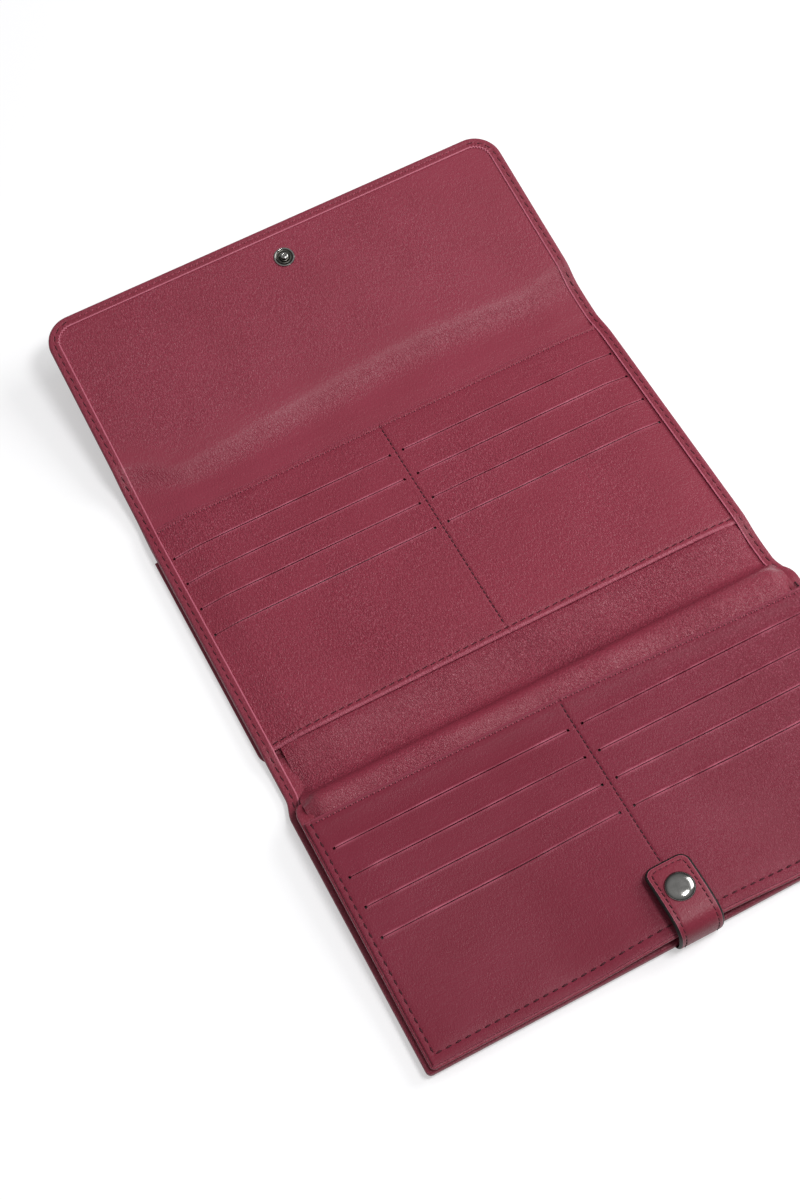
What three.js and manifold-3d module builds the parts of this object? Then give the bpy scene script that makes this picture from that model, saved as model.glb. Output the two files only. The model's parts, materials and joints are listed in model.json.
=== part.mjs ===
// A folding leather travel wallet, lying open with its inside up.
// Millimetres. +X runs along the folds, +Y from the front cover to the closing flap, +Z up.
import * as THREE from "three";
import { mergeVertices } from "three/addons/utils/BufferGeometryUtils.js";
import Module from "manifold-3d";

// Plan of the leather sections
const BACK_WIDTH = 210;
const FRONT_WIDTH = 214;
const FLAP_WIDTH = 209.2;
const LEAF_WIDTH = 210.5;
const POCKET_PANEL_WIDTH = 212;
const POCKET_PANEL_HEIGHT = 102;
const BACK_PANEL_HEIGHT = 111.4;
const FLAP_LENGTH = 72.7;
const LEAF_BAND_LENGTH = 11.8;
const FLAP_CORNER = 12;
const FRONT_CORNER = 2;
const LEAF_CORNER = 1.8;
const HEM_WIDTH = 4.8;

// Thickness of leather, board and pocket cloth
const COVER_LEATHER = 1;
const HEM_LEATHER = 0.9;
const PANEL_LEATHER = 0.9;
const LINING_LEATHER = 0.6;
const STRIP_LEATHER = 0.7;
const BOARD = 0.4;
const BAG_CLOTH = 0.25;

// Clearances between layers, at the folds and in the closed stack
const LAYER_GAP = 0.25;
const SIDE_GAP = 0.3;
const FOLD_GAP = 0.3;
const LIP_TO_SPINE = 2.8;
const PANEL_TO_BAND = 3.9;
const SPINE_TO_LEAF = 2.9;
const DOCUMENT_GAP = 4.6;
const CLOSED_CLEARANCE = 1.2;
const FLAP_CLEARANCE = 0.6;
const TAB_TO_BAND = 2.1;

// Card slits, cut in two columns either side of a centre seam
const SLIT_ROWS = 4;
const BACK_SLIT_TO_HEM = 1.4;
const LEAF_SLIT_TO_EDGE = 6.45;
const SLIT_WIDTH = 0.7;
const SLIT_END_RADIUS = 0.75;
const SLIT_FROM_SEAM = 3;
const BACK_SLIT_DROP = 16.6;
const BACK_SLIT_PITCH = 13.04;
const LEAF_SLIT_DROP = 11.9;
const LEAF_SLIT_PITCH = 12.5;
const SEAM_WIDTH = 0.6;
const SEAM_DEPTH = 0.4;
const BAG_PAST_SLIT = 1.2;
const BAG_FLOOR = 7;

// Snap fasteners
const CAP_RADIUS = 5.9;
const CAP_EDGE = 0.4;
const CAP_RISE = 1.6;
const SNAP_RADIUS = 4.4;
const RIM_WIDTH = 1;
const RIM_RISE = 0.7;
const STUD_RISE = 2.3;
const STUD_RADIUS = 1.85;
const STUD_NECK = 1.45;
const BORE_RADIUS = 2.3;
const SOCKET_RISE = 1.4;
const SHANK_RADIUS = 1.3;
const SHANK_CLEARANCE = 0.3;

// Tab that wraps the free edge of the front cover and snaps onto the leaf
const TAB_WIDTH = 18;
const TAB_REACH = 25;
const TAB_TAIL = 28;
const TAB_RUN = 6;
const TAB_CORNER = 4;
const TAB_EDGE_GAP = 0.6;
const TAB_TOP_BEND = 5;
const TAB_LOW_BEND = 2.4;
const TAB_SNAP_FROM_END = 11.6;
const FLAP_SNAP_FROM_END = 15.9;

// Tilt of the flap as the creased leather holds it open, in degrees
const BAND_TILT = 17.3;
const FLAP_TILT = 12.1;

// How far a cutting solid runs past the faces that it opens
const CUT_MARGIN = 2;
const ROUND_STEPS = 24;

const wasm = await Module();
wasm.setup();

// Layers, from the table up, each on the one below
const above = (below, thickness, gap = LAYER_GAP) => ({
  low: below.high + gap,
  high: below.high + gap + thickness,
});

function bagStack(below) {
  const bags = [];
  for (let row = 0; row < SLIT_ROWS; row++) {
    bags.push(above(row ? bags[row - 1] : below, BAG_CLOTH));
  }
  return bags;
}

const pocketPanel = { low: 0, high: COVER_LEATHER };
const backBase = above(pocketPanel, COVER_LEATHER);
const backBoard = above(backBase, BOARD);
const backLining = above(backBoard, LINING_LEATHER);
const backBags = bagStack(backLining);
const backPanel = above(backBags[SLIT_ROWS - 1], PANEL_LEATHER);
const backHem = above(backPanel, HEM_LEATHER);

const spineLining = above(backBase, LINING_LEATHER);
const hingeStrip = above(spineLining, STRIP_LEATHER);
const spineFoldZ = hingeStrip.high + LAYER_GAP;

const tabThickness = STRIP_LEATHER + LAYER_GAP + HEM_LEATHER;
const tabTail = { low: 0, high: tabThickness };
const frontBase = above(tabTail, COVER_LEATHER);
const frontBoard = above(frontBase, BOARD);
const frontLining = above(frontBoard, LINING_LEATHER);
const frontHem = above(frontLining, HEM_LEATHER);
const leafBack = above(frontHem, PANEL_LEATHER, DOCUMENT_GAP);
const leafBags = bagStack(leafBack);
const leafPanel = above(leafBags[SLIT_ROWS - 1], PANEL_LEATHER);
const leafStud = above(leafPanel, RIM_RISE);
const tabSocket = above(leafStud, SOCKET_RISE);
const tabLining = above(tabSocket, STRIP_LEATHER);
const tabStrap = above(tabLining, HEM_LEATHER);
const tabCap = above(tabStrap, CAP_RISE);

// The flap's layers hang below the top of its hem, which is the level of its folds
const flapHem = { low: -HEM_LEATHER, high: 0 };
const under = (upper, thickness) => ({
  low: upper.low - LAYER_GAP - thickness,
  high: upper.low - LAYER_GAP,
});
const flapLining = under(flapHem, LINING_LEATHER);
const bandBase = under(flapLining, COVER_LEATHER);
const flapBoard = under(flapLining, BOARD);
const flapBase = under(flapBoard, COVER_LEATHER);

// Fold lines: the spine and the flap band are as wide as the closed stack is thick
const spineLength = backPanel.high + CLOSED_CLEARANCE + tabCap.high - 2 * spineFoldZ;
const closedTop = 2 * spineFoldZ + spineLength;
const bandFoldZ = backLining.high + LAYER_GAP + HEM_LEATHER;
const bandLength = closedTop + FLAP_CLEARANCE - bandFoldZ;
const panelTop = LIP_TO_SPINE + BACK_PANEL_HEIGHT;
const bandFoldY = panelTop + PANEL_TO_BAND;
const frontLength = bandFoldY - TAB_TO_BAND - tabThickness - TAB_EDGE_GAP;
const leafPanelTop = SPINE_TO_LEAF + LEAF_BAND_LENGTH;
const tabSnapY = frontLength - TAB_REACH + TAB_SNAP_FROM_END;
const flapSnapY = FLAP_LENGTH - FLAP_SNAP_FROM_END;
const frontSnapY = bandFoldY - flapSnapY;
const backSlitLength = BACK_WIDTH / 2 - HEM_WIDTH - BACK_SLIT_TO_HEM - SLIT_FROM_SEAM;
const leafSlitLength = LEAF_WIDTH / 2 - LEAF_SLIT_TO_EDGE - SLIT_FROM_SEAM;

const leather = new THREE.MeshStandardMaterial({ color: 0x863646, roughness: 0.5, metalness: 0 });
const lining = new THREE.MeshStandardMaterial({ color: 0x7c2f3f, roughness: 0.55, metalness: 0 });
const cloth = new THREE.MeshStandardMaterial({ color: 0x4a1f2c, roughness: 0.9, metalness: 0 });
const board = new THREE.MeshStandardMaterial({ color: 0x8d7a66, roughness: 0.95, metalness: 0 });
const gunmetal = new THREE.MeshStandardMaterial({ color: 0x6f6d68, roughness: 0.25, metalness: 1 });

function toSolid(geometry) {
  const plain = geometry.clone();
  plain.deleteAttribute("normal");
  plain.deleteAttribute("uv");
  const merged = mergeVertices(plain, 1e-4);
  return new wasm.Manifold(
    new wasm.Mesh({
      numProp: 3,
      vertProperties: new Float32Array(merged.attributes.position.array),
      triVerts: new Uint32Array(merged.index.array),
    }),
  );
}

function toGeometry(solid) {
  const made = solid.getMesh();
  const geometry = new THREE.BufferGeometry();
  geometry.setAttribute("position", new THREE.BufferAttribute(made.vertProperties, 3));
  geometry.setIndex(new THREE.BufferAttribute(made.triVerts, 1));
  geometry.computeVertexNormals();
  return geometry;
}

function cut(geometry, ...tools) {
  let solid = toSolid(geometry);
  for (const tool of tools) {
    solid = solid.subtract(toSolid(tool));
  }
  return toGeometry(solid);
}

function addMesh(group, name, geometry, material) {
  const mesh = new THREE.Mesh(geometry, material.clone());
  mesh.name = name;
  group.add(mesh);
  return mesh;
}

// A sheet's outline from y0 to y1, with its corners rounded at either end
function sheet(half, y0, y1, r0 = 0, r1 = 0) {
  const shape = new THREE.Shape();
  shape.moveTo(-half + r0, y0);
  shape.lineTo(half - r0, y0);
  if (r0 > 0) {
    shape.absarc(half - r0, y0 + r0, r0, -Math.PI / 2, 0);
  }
  shape.lineTo(half, y1 - r1);
  if (r1 > 0) {
    shape.absarc(half - r1, y1 - r1, r1, 0, Math.PI / 2);
  }
  shape.lineTo(-half + r1, y1);
  if (r1 > 0) {
    shape.absarc(-half + r1, y1 - r1, r1, Math.PI / 2, Math.PI);
  }
  shape.lineTo(-half, y0 + r0);
  if (r0 > 0) {
    shape.absarc(-half + r0, y0 + r0, r0, Math.PI, 1.5 * Math.PI);
  }
  return shape;
}

function raise(shape, layer) {
  const depth = layer.high - layer.low;
  const geometry = new THREE.ExtrudeGeometry(shape, { depth, bevelEnabled: false, curveSegments: 8 });
  return geometry.translate(0, 0, layer.low);
}

// A profile drawn in the YZ plane, swept across the width
function sweepAcross(profile, half) {
  const geometry = new THREE.ExtrudeGeometry(profile, {
    depth: 2 * half,
    bevelEnabled: false,
    curveSegments: 6,
  });
  const [x, y, z] = [new THREE.Vector3(1, 0, 0), new THREE.Vector3(0, 1, 0), new THREE.Vector3(0, 0, 1)];
  geometry.applyMatrix4(new THREE.Matrix4().makeBasis(y, z, x));
  return geometry.translate(-half, 0, 0);
}

function pierce(shape, y, radius) {
  const hole = new THREE.Path();
  hole.absarc(0, y, radius, 0, 2 * Math.PI);
  shape.holes.push(hole);
  return shape;
}

// Outer leather with its margins turned up round the layers inside and over them as a hem.
// A free end is hemmed too. An end at a fold stays open.
function hemmedCover(width, length, base, hem, freeEnd, corner = 0) {
  const half = width / 2;
  const end = freeEnd ? length : length - FOLD_GAP;
  const wallEnd = freeEnd ? end - COVER_LEATHER : end + CUT_MARGIN;
  const hemEnd = freeEnd ? end - HEM_WIDTH : end + CUT_MARGIN;
  const wallCorner = Math.max(corner - COVER_LEATHER, 0);
  const hemCorner = Math.max(corner - HEM_WIDTH, 0);
  const outer = raise(sheet(half, FOLD_GAP, end, 0, corner), { low: base.low, high: hem.high });
  const inside = raise(sheet(half - COVER_LEATHER, -CUT_MARGIN, wallEnd, 0, wallCorner), {
    low: base.high,
    high: hem.low,
  });
  const window = raise(sheet(half - HEM_WIDTH, -CUT_MARGIN, hemEnd, 0, hemCorner), {
    low: base.high,
    high: hem.high + CUT_MARGIN,
  });
  return cut(outer, inside, window);
}

function snapHoleTool(y, layer) {
  const tool = new THREE.Shape();
  tool.absarc(0, y, SHANK_RADIUS + SHANK_CLEARANCE, 0, 2 * Math.PI);
  return raise(tool, { low: layer.low - CUT_MARGIN, high: layer.high + CUT_MARGIN });
}

// One card slit with a small round hole at each end
function slit(x0, x1, y) {
  const half = SLIT_WIDTH / 2;
  const turn = Math.asin(half / SLIT_END_RADIUS);
  const path = new THREE.Path();
  path.absarc(x1, y, SLIT_END_RADIUS, turn - Math.PI, Math.PI - turn);
  path.absarc(x0, y, SLIT_END_RADIUS, turn, 2 * Math.PI - turn);
  return path;
}

function slitRows(first, pitch) {
  return Array.from({ length: SLIT_ROWS }, (unused, row) => first + row * pitch);
}

// A leather panel with its columns of card slits and a sewn groove between the columns
function slotPanel(half, y0, y1, r0, r1, rows, slitLength, layer) {
  const shape = sheet(half, y0, y1, r0, r1);
  for (const y of rows) {
    for (const side of [-1, 1]) {
      const ends = [side * SLIT_FROM_SEAM, side * (SLIT_FROM_SEAM + slitLength)];
      shape.holes.push(slit(Math.min(...ends), Math.max(...ends), y));
    }
  }
  const groove = raise(sheet(SEAM_WIDTH / 2, y0 - CUT_MARGIN, y1 + CUT_MARGIN), {
    low: layer.high - SEAM_DEPTH,
    high: layer.high + CUT_MARGIN,
  });
  return cut(raise(shape, layer), groove);
}

// Cloth bags behind the slits: each hangs from its slit, in front of the bag of the slit above
function addBags(group, prefix, rows, slitLength, floor, layers, faceUp) {
  const depth = Math.abs(floor - rows[SLIT_ROWS - 1]);
  const down = Math.sign(floor - rows[SLIT_ROWS - 1]);
  const half = slitLength / 2 + BAG_PAST_SLIT;
  rows.forEach((mouth, row) => {
    const edges = [mouth - down * SLIT_WIDTH, mouth + down * depth];
    for (const side of [-1, 1]) {
      const bag = raise(sheet(half, Math.min(...edges), Math.max(...edges)), layers[row]);
      bag.translate(side * (SLIT_FROM_SEAM + slitLength / 2), 0, 0);
      const column = side * faceUp < 0 ? "left" : "right";
      addMesh(group, `${prefix}_card_bag_${column}_${row + 1}`, bag, cloth);
    }
  });
}

// Turned metal parts, built round Z with their seat at z = 0
function turned(points) {
  const profile = points.map(([r, z]) => new THREE.Vector2(r, z));
  const lathe = new THREE.LatheGeometry(profile, ROUND_STEPS);
  return toGeometry(toSolid(lathe.rotateX(Math.PI / 2)));
}

function snapCap(shank) {
  const points = [
    [0, -shank],
    [SHANK_RADIUS, -shank],
    [SHANK_RADIUS, 0],
    [CAP_RADIUS, 0],
    [CAP_RADIUS, CAP_EDGE],
  ];
  const domeSteps = 5;
  for (let step = 1; step <= domeSteps; step++) {
    const turn = ((step / domeSteps) * Math.PI) / 2;
    points.push([CAP_RADIUS * Math.cos(turn), CAP_EDGE + (CAP_RISE - CAP_EDGE) * Math.sin(turn)]);
  }
  points[points.length - 1][0] = 0;
  return turned(points);
}

function snapStud(shank) {
  const floor = RIM_RISE / 2;
  const waist = RIM_RISE + (STUD_RISE - RIM_RISE) / 4;
  const widest = RIM_RISE + (STUD_RISE - RIM_RISE) / 2;
  return turned([
    [0, -shank],
    [SHANK_RADIUS, -shank],
    [SHANK_RADIUS, 0],
    [SNAP_RADIUS, 0],
    [SNAP_RADIUS, RIM_RISE],
    [SNAP_RADIUS - RIM_WIDTH, RIM_RISE],
    [SNAP_RADIUS - RIM_WIDTH, floor],
    [STUD_RADIUS, floor],
    [STUD_NECK, waist],
    [STUD_RADIUS, widest],
    [STUD_NECK, STUD_RISE],
    [0, STUD_RISE],
  ]);
}

function snapSocket(height) {
  return turned([
    [BORE_RADIUS, 0],
    [SNAP_RADIUS, 0],
    [SNAP_RADIUS, height],
    [BORE_RADIUS, height],
    [BORE_RADIUS, 0],
  ]);
}

const wallet = new THREE.Group();

// Back section: the middle of the wallet, with the slot panel over a bill pocket
const back = new THREE.Group();
wallet.add(back);
const backInnerHalf = BACK_WIDTH / 2 - COVER_LEATHER - SIDE_GAP;
const backEnd = bandFoldY - FOLD_GAP;
const backRows = slitRows(-BACK_SLIT_DROP, -BACK_SLIT_PITCH).map((drop) => panelTop + drop);

const pocketSheet = sheet(POCKET_PANEL_WIDTH / 2, FOLD_GAP, FOLD_GAP + POCKET_PANEL_HEIGHT);
addMesh(back, "back_pocket_panel", raise(pocketSheet, pocketPanel), leather);
addMesh(back, "back_cover", hemmedCover(BACK_WIDTH, bandFoldY, backBase, backHem, false), leather);
addMesh(back, "back_stiffener", raise(sheet(backInnerHalf, LIP_TO_SPINE, panelTop), backBoard), board);
addMesh(back, "back_lining", raise(sheet(backInnerHalf, FOLD_GAP, backEnd), backLining), lining);
addBags(back, "back", backRows, backSlitLength, LIP_TO_SPINE + BAG_FLOOR, backBags, 1);
const backSlots = slotPanel(
  backInnerHalf,
  LIP_TO_SPINE,
  panelTop,
  0,
  0,
  backRows,
  backSlitLength,
  backPanel,
);
addMesh(back, "back_slot_panel", backSlots, leather);

// Flap band: the strip that becomes the top of the closed wallet
const band = new THREE.Group();
band.position.set(0, bandFoldY, bandFoldZ);
band.rotation.x = THREE.MathUtils.degToRad(BAND_TILT);
wallet.add(band);
const flapInnerHalf = FLAP_WIDTH / 2 - COVER_LEATHER - SIDE_GAP;
const bandSheet = sheet(flapInnerHalf, FOLD_GAP, bandLength - FOLD_GAP);
addMesh(band, "flap_band_cover", hemmedCover(FLAP_WIDTH, bandLength, bandBase, flapHem, false), leather);
addMesh(band, "flap_band_lining", raise(bandSheet, flapLining), lining);

// Flap, with the stud of its snap on the inside and the cap on the outside
const flap = new THREE.Group();
flap.position.set(0, bandLength, 0);
flap.rotation.x = THREE.MathUtils.degToRad(FLAP_TILT - BAND_TILT);
band.add(flap);
const flapInnerEnd = FLAP_LENGTH - COVER_LEATHER - SIDE_GAP;
const flapInnerCorner = Math.max(FLAP_CORNER - COVER_LEATHER - SIDE_GAP, 0);
const shankHole = SHANK_RADIUS + SHANK_CLEARANCE;
const flapSheet = () =>
  pierce(sheet(flapInnerHalf, FOLD_GAP, flapInnerEnd, 0, flapInnerCorner), flapSnapY, shankHole);
const flapShell = hemmedCover(FLAP_WIDTH, FLAP_LENGTH, flapBase, flapHem, true, FLAP_CORNER);
addMesh(flap, "flap_cover", cut(flapShell, snapHoleTool(flapSnapY, flapBase)), leather);
addMesh(flap, "flap_stiffener", raise(flapSheet(), flapBoard), board);
addMesh(flap, "flap_lining", raise(flapSheet(), flapLining), lining);
const flapStud = addMesh(flap, "flap_snap_stud", snapStud(LAYER_GAP + LINING_LEATHER), gunmetal);
flapStud.position.set(0, flapSnapY, flapLining.high + LAYER_GAP);
const flapCap = addMesh(flap, "flap_snap_cap", snapCap(LAYER_GAP + COVER_LEATHER), gunmetal);
flapCap.position.set(0, flapSnapY, flapBase.low - LAYER_GAP);
flapCap.rotation.x = Math.PI;

// Spine: outer leather, its lining and the strip that the leaf hangs on
const spine = new THREE.Group();
spine.rotation.z = Math.PI;
wallet.add(spine);
const spineInnerHalf = BACK_WIDTH / 2 - COVER_LEATHER - SIDE_GAP;
const stripHalf = BACK_WIDTH / 2 - HEM_WIDTH - SIDE_GAP;
const spineSheet = (half) => sheet(half, FOLD_GAP, spineLength - FOLD_GAP);
addMesh(spine, "spine_cover", hemmedCover(BACK_WIDTH, spineLength, backBase, hingeStrip, false), leather);
addMesh(spine, "spine_lining", raise(spineSheet(spineInnerHalf), spineLining), lining);
addMesh(spine, "hinge_strip", raise(spineSheet(stripHalf), hingeStrip), leather);

// Front section, drawn from the spine towards its free edge
const front = new THREE.Group();
front.position.set(0, -spineLength, 0);
front.rotation.z = Math.PI;
wallet.add(front);
const frontInnerHalf = FRONT_WIDTH / 2 - COVER_LEATHER - SIDE_GAP;
const frontInnerEnd = frontLength - COVER_LEATHER - SIDE_GAP;
const frontInnerCorner = Math.max(FRONT_CORNER - COVER_LEATHER - SIDE_GAP, 0);
const frontInnerStart = SPINE_TO_LEAF + SIDE_GAP;
const frontSheet = () => sheet(frontInnerHalf, frontInnerStart, frontInnerEnd, 0, frontInnerCorner);
const frontShell = hemmedCover(FRONT_WIDTH, frontLength, frontBase, frontHem, true, FRONT_CORNER);
addMesh(front, "front_cover", frontShell, leather);
addMesh(front, "front_stiffener", raise(frontSheet(), frontBoard), board);
addMesh(front, "front_lining", raise(frontSheet(), frontLining), lining);
const frontSocket = addMesh(front, "front_snap_socket", snapSocket(tabThickness), gunmetal);
frontSocket.position.set(0, frontSnapY, tabTail.low);
const tailSheet = sheet(TAB_WIDTH / 2, frontLength - TAB_TAIL, frontLength - TAB_RUN - FOLD_GAP);
addMesh(front, "tab_tail", raise(tailSheet, tabTail), leather);

// Leaf: a page of card slits that hangs on the hinge strip, over the document compartment
const leaf = new THREE.Group();
front.add(leaf);
const leafHalf = LEAF_WIDTH / 2;
const leafRim = { low: leafBack.low, high: leafPanel.low - LAYER_GAP };
const leafInset = leafHalf - COVER_LEATHER;
const leafRows = slitRows(leafPanelTop + LEAF_SLIT_DROP, LEAF_SLIT_PITCH);
const trayHollow = sheet(
  leafInset,
  SPINE_TO_LEAF - CUT_MARGIN,
  frontLength - COVER_LEATHER,
  0,
  Math.max(LEAF_CORNER - COVER_LEATHER, 0),
);
const tray = cut(
  raise(sheet(leafHalf, SPINE_TO_LEAF, frontLength, 0, LEAF_CORNER), leafRim),
  raise(trayHollow, { low: leafBack.high, high: leafRim.high + CUT_MARGIN }),
);
addMesh(leaf, "leaf_back", tray, leather);
addBags(leaf, "leaf", leafRows, leafSlitLength, frontLength - BAG_FLOOR, leafBags, -1);
const leafSlots = slotPanel(
  leafInset,
  leafPanelTop,
  frontLength,
  0,
  LEAF_CORNER,
  leafRows,
  leafSlitLength,
  leafPanel,
);
addMesh(leaf, "leaf_slot_panel", cut(leafSlots, snapHoleTool(tabSnapY, leafPanel)), leather);

// The head band rises off the hinge strip and lies along the top of the leaf
const bandFoot = FOLD_GAP;
const bandShoulder = SPINE_TO_LEAF - SIDE_GAP - PANEL_LEATHER;
const headHalf = Math.min(stripHalf, FRONT_WIDTH / 2 - HEM_WIDTH - SIDE_GAP);
const headProfile = new THREE.Shape();
headProfile.moveTo(bandFoot, hingeStrip.low);
headProfile.lineTo(bandFoot + PANEL_LEATHER, hingeStrip.low);
headProfile.lineTo(bandShoulder + PANEL_LEATHER, leafBack.low);
headProfile.lineTo(bandShoulder + PANEL_LEATHER, leafPanel.low);
headProfile.lineTo(leafPanelTop - SIDE_GAP, leafPanel.low);
headProfile.lineTo(leafPanelTop - SIDE_GAP, leafPanel.high);
headProfile.lineTo(bandShoulder + PANEL_LEATHER, leafPanel.high);
headProfile.lineTo(bandShoulder, leafPanel.low);
headProfile.lineTo(bandShoulder, leafBack.low);
addMesh(leaf, "leaf_head_band", sweepAcross(headProfile, headHalf), leather);
const stud = addMesh(leaf, "leaf_snap_stud", snapStud(LAYER_GAP + PANEL_LEATHER), gunmetal);
stud.position.set(0, tabSnapY, leafStud.low);

// Tab: a bend round the free edge, a two-layer strap over the leaf and its snap
const tab = new THREE.Group();
front.add(tab);
const bendStart = frontLength - TAB_RUN;
const bendEnd = frontLength + TAB_EDGE_GAP + tabThickness;
const innerTop = TAB_TOP_BEND - tabThickness;
const innerLow = TAB_LOW_BEND - tabThickness;
const bendProfile = new THREE.Shape();
bendProfile.moveTo(bendStart, tabTail.low);
bendProfile.absarc(bendEnd - TAB_LOW_BEND, tabTail.low + TAB_LOW_BEND, TAB_LOW_BEND, -Math.PI / 2, 0);
bendProfile.absarc(bendEnd - TAB_TOP_BEND, tabStrap.high - TAB_TOP_BEND, TAB_TOP_BEND, 0, Math.PI / 2);
bendProfile.lineTo(bendStart, tabStrap.high);
bendProfile.lineTo(bendStart, tabLining.low);
bendProfile.absarc(bendEnd - TAB_TOP_BEND, tabStrap.high - TAB_TOP_BEND, innerTop, Math.PI / 2, 0, true);
bendProfile.absarc(bendEnd - TAB_LOW_BEND, tabTail.low + TAB_LOW_BEND, innerLow, 0, -Math.PI / 2, true);
bendProfile.lineTo(bendStart, tabTail.high);
addMesh(tab, "tab_bend", sweepAcross(bendProfile, TAB_WIDTH / 2), leather);
const strapSheet = () =>
  pierce(
    sheet(TAB_WIDTH / 2, frontLength - TAB_REACH, bendStart - FOLD_GAP, TAB_CORNER, 0),
    tabSnapY,
    shankHole,
  );
addMesh(tab, "tab_strap", raise(strapSheet(), tabStrap), leather);
addMesh(tab, "tab_lining", raise(strapSheet(), tabLining), lining);
const capMesh = addMesh(tab, "tab_snap_cap", snapCap(LAYER_GAP + HEM_LEATHER), gunmetal);
capMesh.position.set(0, tabSnapY, tabCap.low);
const socketMesh = addMesh(tab, "tab_snap_socket", snapSocket(SOCKET_RISE), gunmetal);
socketMesh.position.set(0, tabSnapY, tabSocket.low);

// The origin is on the table, under the middle of the open wallet
wallet.updateMatrixWorld(true);
const extent = new THREE.Box3().setFromObject(wallet, true);
wallet.position.y = -(extent.min.y + extent.max.y) / 2;

const part = new THREE.Group();
part.add(wallet);

export default part;
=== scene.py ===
import bisect
import itertools
import json
import math

import bmesh
import bpy
from mathutils import Matrix, Vector, geometry, noise
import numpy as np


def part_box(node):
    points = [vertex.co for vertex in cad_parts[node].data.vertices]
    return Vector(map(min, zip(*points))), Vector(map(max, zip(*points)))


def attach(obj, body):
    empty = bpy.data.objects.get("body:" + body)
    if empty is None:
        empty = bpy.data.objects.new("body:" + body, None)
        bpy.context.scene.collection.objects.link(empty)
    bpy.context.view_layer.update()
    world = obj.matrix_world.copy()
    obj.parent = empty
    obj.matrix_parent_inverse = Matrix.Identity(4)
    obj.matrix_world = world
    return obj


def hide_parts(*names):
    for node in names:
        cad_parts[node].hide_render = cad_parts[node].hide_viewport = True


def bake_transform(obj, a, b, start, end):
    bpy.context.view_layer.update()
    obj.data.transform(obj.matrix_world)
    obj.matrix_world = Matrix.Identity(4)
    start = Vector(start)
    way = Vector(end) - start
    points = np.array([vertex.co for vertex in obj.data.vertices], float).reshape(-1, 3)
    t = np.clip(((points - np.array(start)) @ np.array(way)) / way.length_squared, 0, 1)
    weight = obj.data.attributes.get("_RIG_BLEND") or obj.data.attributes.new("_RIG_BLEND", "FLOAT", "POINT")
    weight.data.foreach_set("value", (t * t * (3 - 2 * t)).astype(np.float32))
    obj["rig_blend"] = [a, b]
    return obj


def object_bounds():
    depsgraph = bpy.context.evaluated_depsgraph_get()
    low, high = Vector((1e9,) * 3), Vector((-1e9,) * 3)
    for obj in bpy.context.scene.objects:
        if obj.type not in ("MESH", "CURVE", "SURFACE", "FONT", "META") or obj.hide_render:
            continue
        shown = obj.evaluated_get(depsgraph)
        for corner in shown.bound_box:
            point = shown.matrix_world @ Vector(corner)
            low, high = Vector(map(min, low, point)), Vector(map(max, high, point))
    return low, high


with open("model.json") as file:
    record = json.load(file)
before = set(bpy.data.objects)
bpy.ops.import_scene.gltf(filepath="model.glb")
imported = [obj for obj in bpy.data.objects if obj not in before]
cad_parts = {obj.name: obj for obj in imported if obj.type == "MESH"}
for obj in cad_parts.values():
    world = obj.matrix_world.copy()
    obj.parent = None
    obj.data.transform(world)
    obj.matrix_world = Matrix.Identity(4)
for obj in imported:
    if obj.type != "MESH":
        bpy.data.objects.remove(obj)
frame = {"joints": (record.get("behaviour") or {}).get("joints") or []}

cad_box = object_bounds()

# Back section, outer leather.
# One hide of burgundy leather covers the whole outside. Its edges are pared, turned over the
# boards as a hem and sewn down. The hide is laid in four lengths here, each across one fold.
MM = 0.001
fold = {joint["name"]: Vector(joint["pos_m"]) / MM for joint in frame["joints"]}
SPINE_Y = fold["spine_fold"].y
FRONT_Y = fold["front_fold"].y


def ease(value, low, high):
    """0 below low and 1 above high, with a smooth step between."""
    f = min(1.0, max(0.0, (value - low) / (high - low)))
    return f * f * (3 - 2 * f)


def even(low, high, step):
    """Even places from low to high, about a step apart."""
    count = max(1, round(abs(high - low) / step))
    return [low + (high - low) * i / count for i in range(count + 1)]


def chords(points):
    """The step from the point before to the point after, at each point of a line."""
    last = len(points) - 1
    return [points[min(i + 1, last)] - points[max(i - 1, 0)] for i in range(last + 1)]


def measured(points):
    """The length along a line at each of its points."""
    return list(itertools.accumulate(((b - a).length for a, b in zip(points, points[1:])), initial=0.0))


def find(lengths, t):
    """The stretch of a measured line that holds a length t, and how far along it that is."""
    i = min(max(bisect.bisect_right(lengths, t) - 1, 0), len(lengths) - 2)
    return i, (t - lengths[i]) / max(lengths[i + 1] - lengths[i], 1e-9)


def lay(points, up):
    """A smooth line through (y, z, thickness) points, for leather to lie along.

    Gives at(t), with the place, the normal and the thickness at a length t, and the lengths
    at the points. up is 1 for a line that runs to +Y and -1 for one that runs to -Y.
    """
    knots = [Vector(p) for p in points]
    tangents = [chord.normalized() for chord in chords(knots)]
    line, marks = [], [0]
    for i in range(len(knots) - 1):
        reach = (knots[i + 1] - knots[i]).length / 3
        first, last = knots[i] + tangents[i] * reach, knots[i + 1] - tangents[i + 1] * reach
        count = max(4, int(reach * 6))
        piece = geometry.interpolate_bezier(knots[i], first, last, knots[i + 1], count)
        line += piece if i == 0 else piece[1:]
        marks.append(len(line) - 1)
    lengths = measured([point.to_2d() for point in line])
    slopes = [chord.to_2d().normalized() for chord in chords(line)]

    def at(t):
        i, f = find(lengths, t)
        place = line[i].lerp(line[i + 1], f)
        slope = slopes[i].lerp(slopes[i + 1], min(1.0, max(0.0, f))).normalized()
        return place.x, place.y, -slope.y * up, slope.x * up, place.z

    return at, [lengths[m] for m in marks]


def on(at, x, t, height):
    """The point at x across and t along a line, and a height above its face."""
    y, z, normal_y, normal_z, _ = at(t)
    return Vector((x, y + normal_y * height, z + normal_z * height)) * MM


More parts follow.
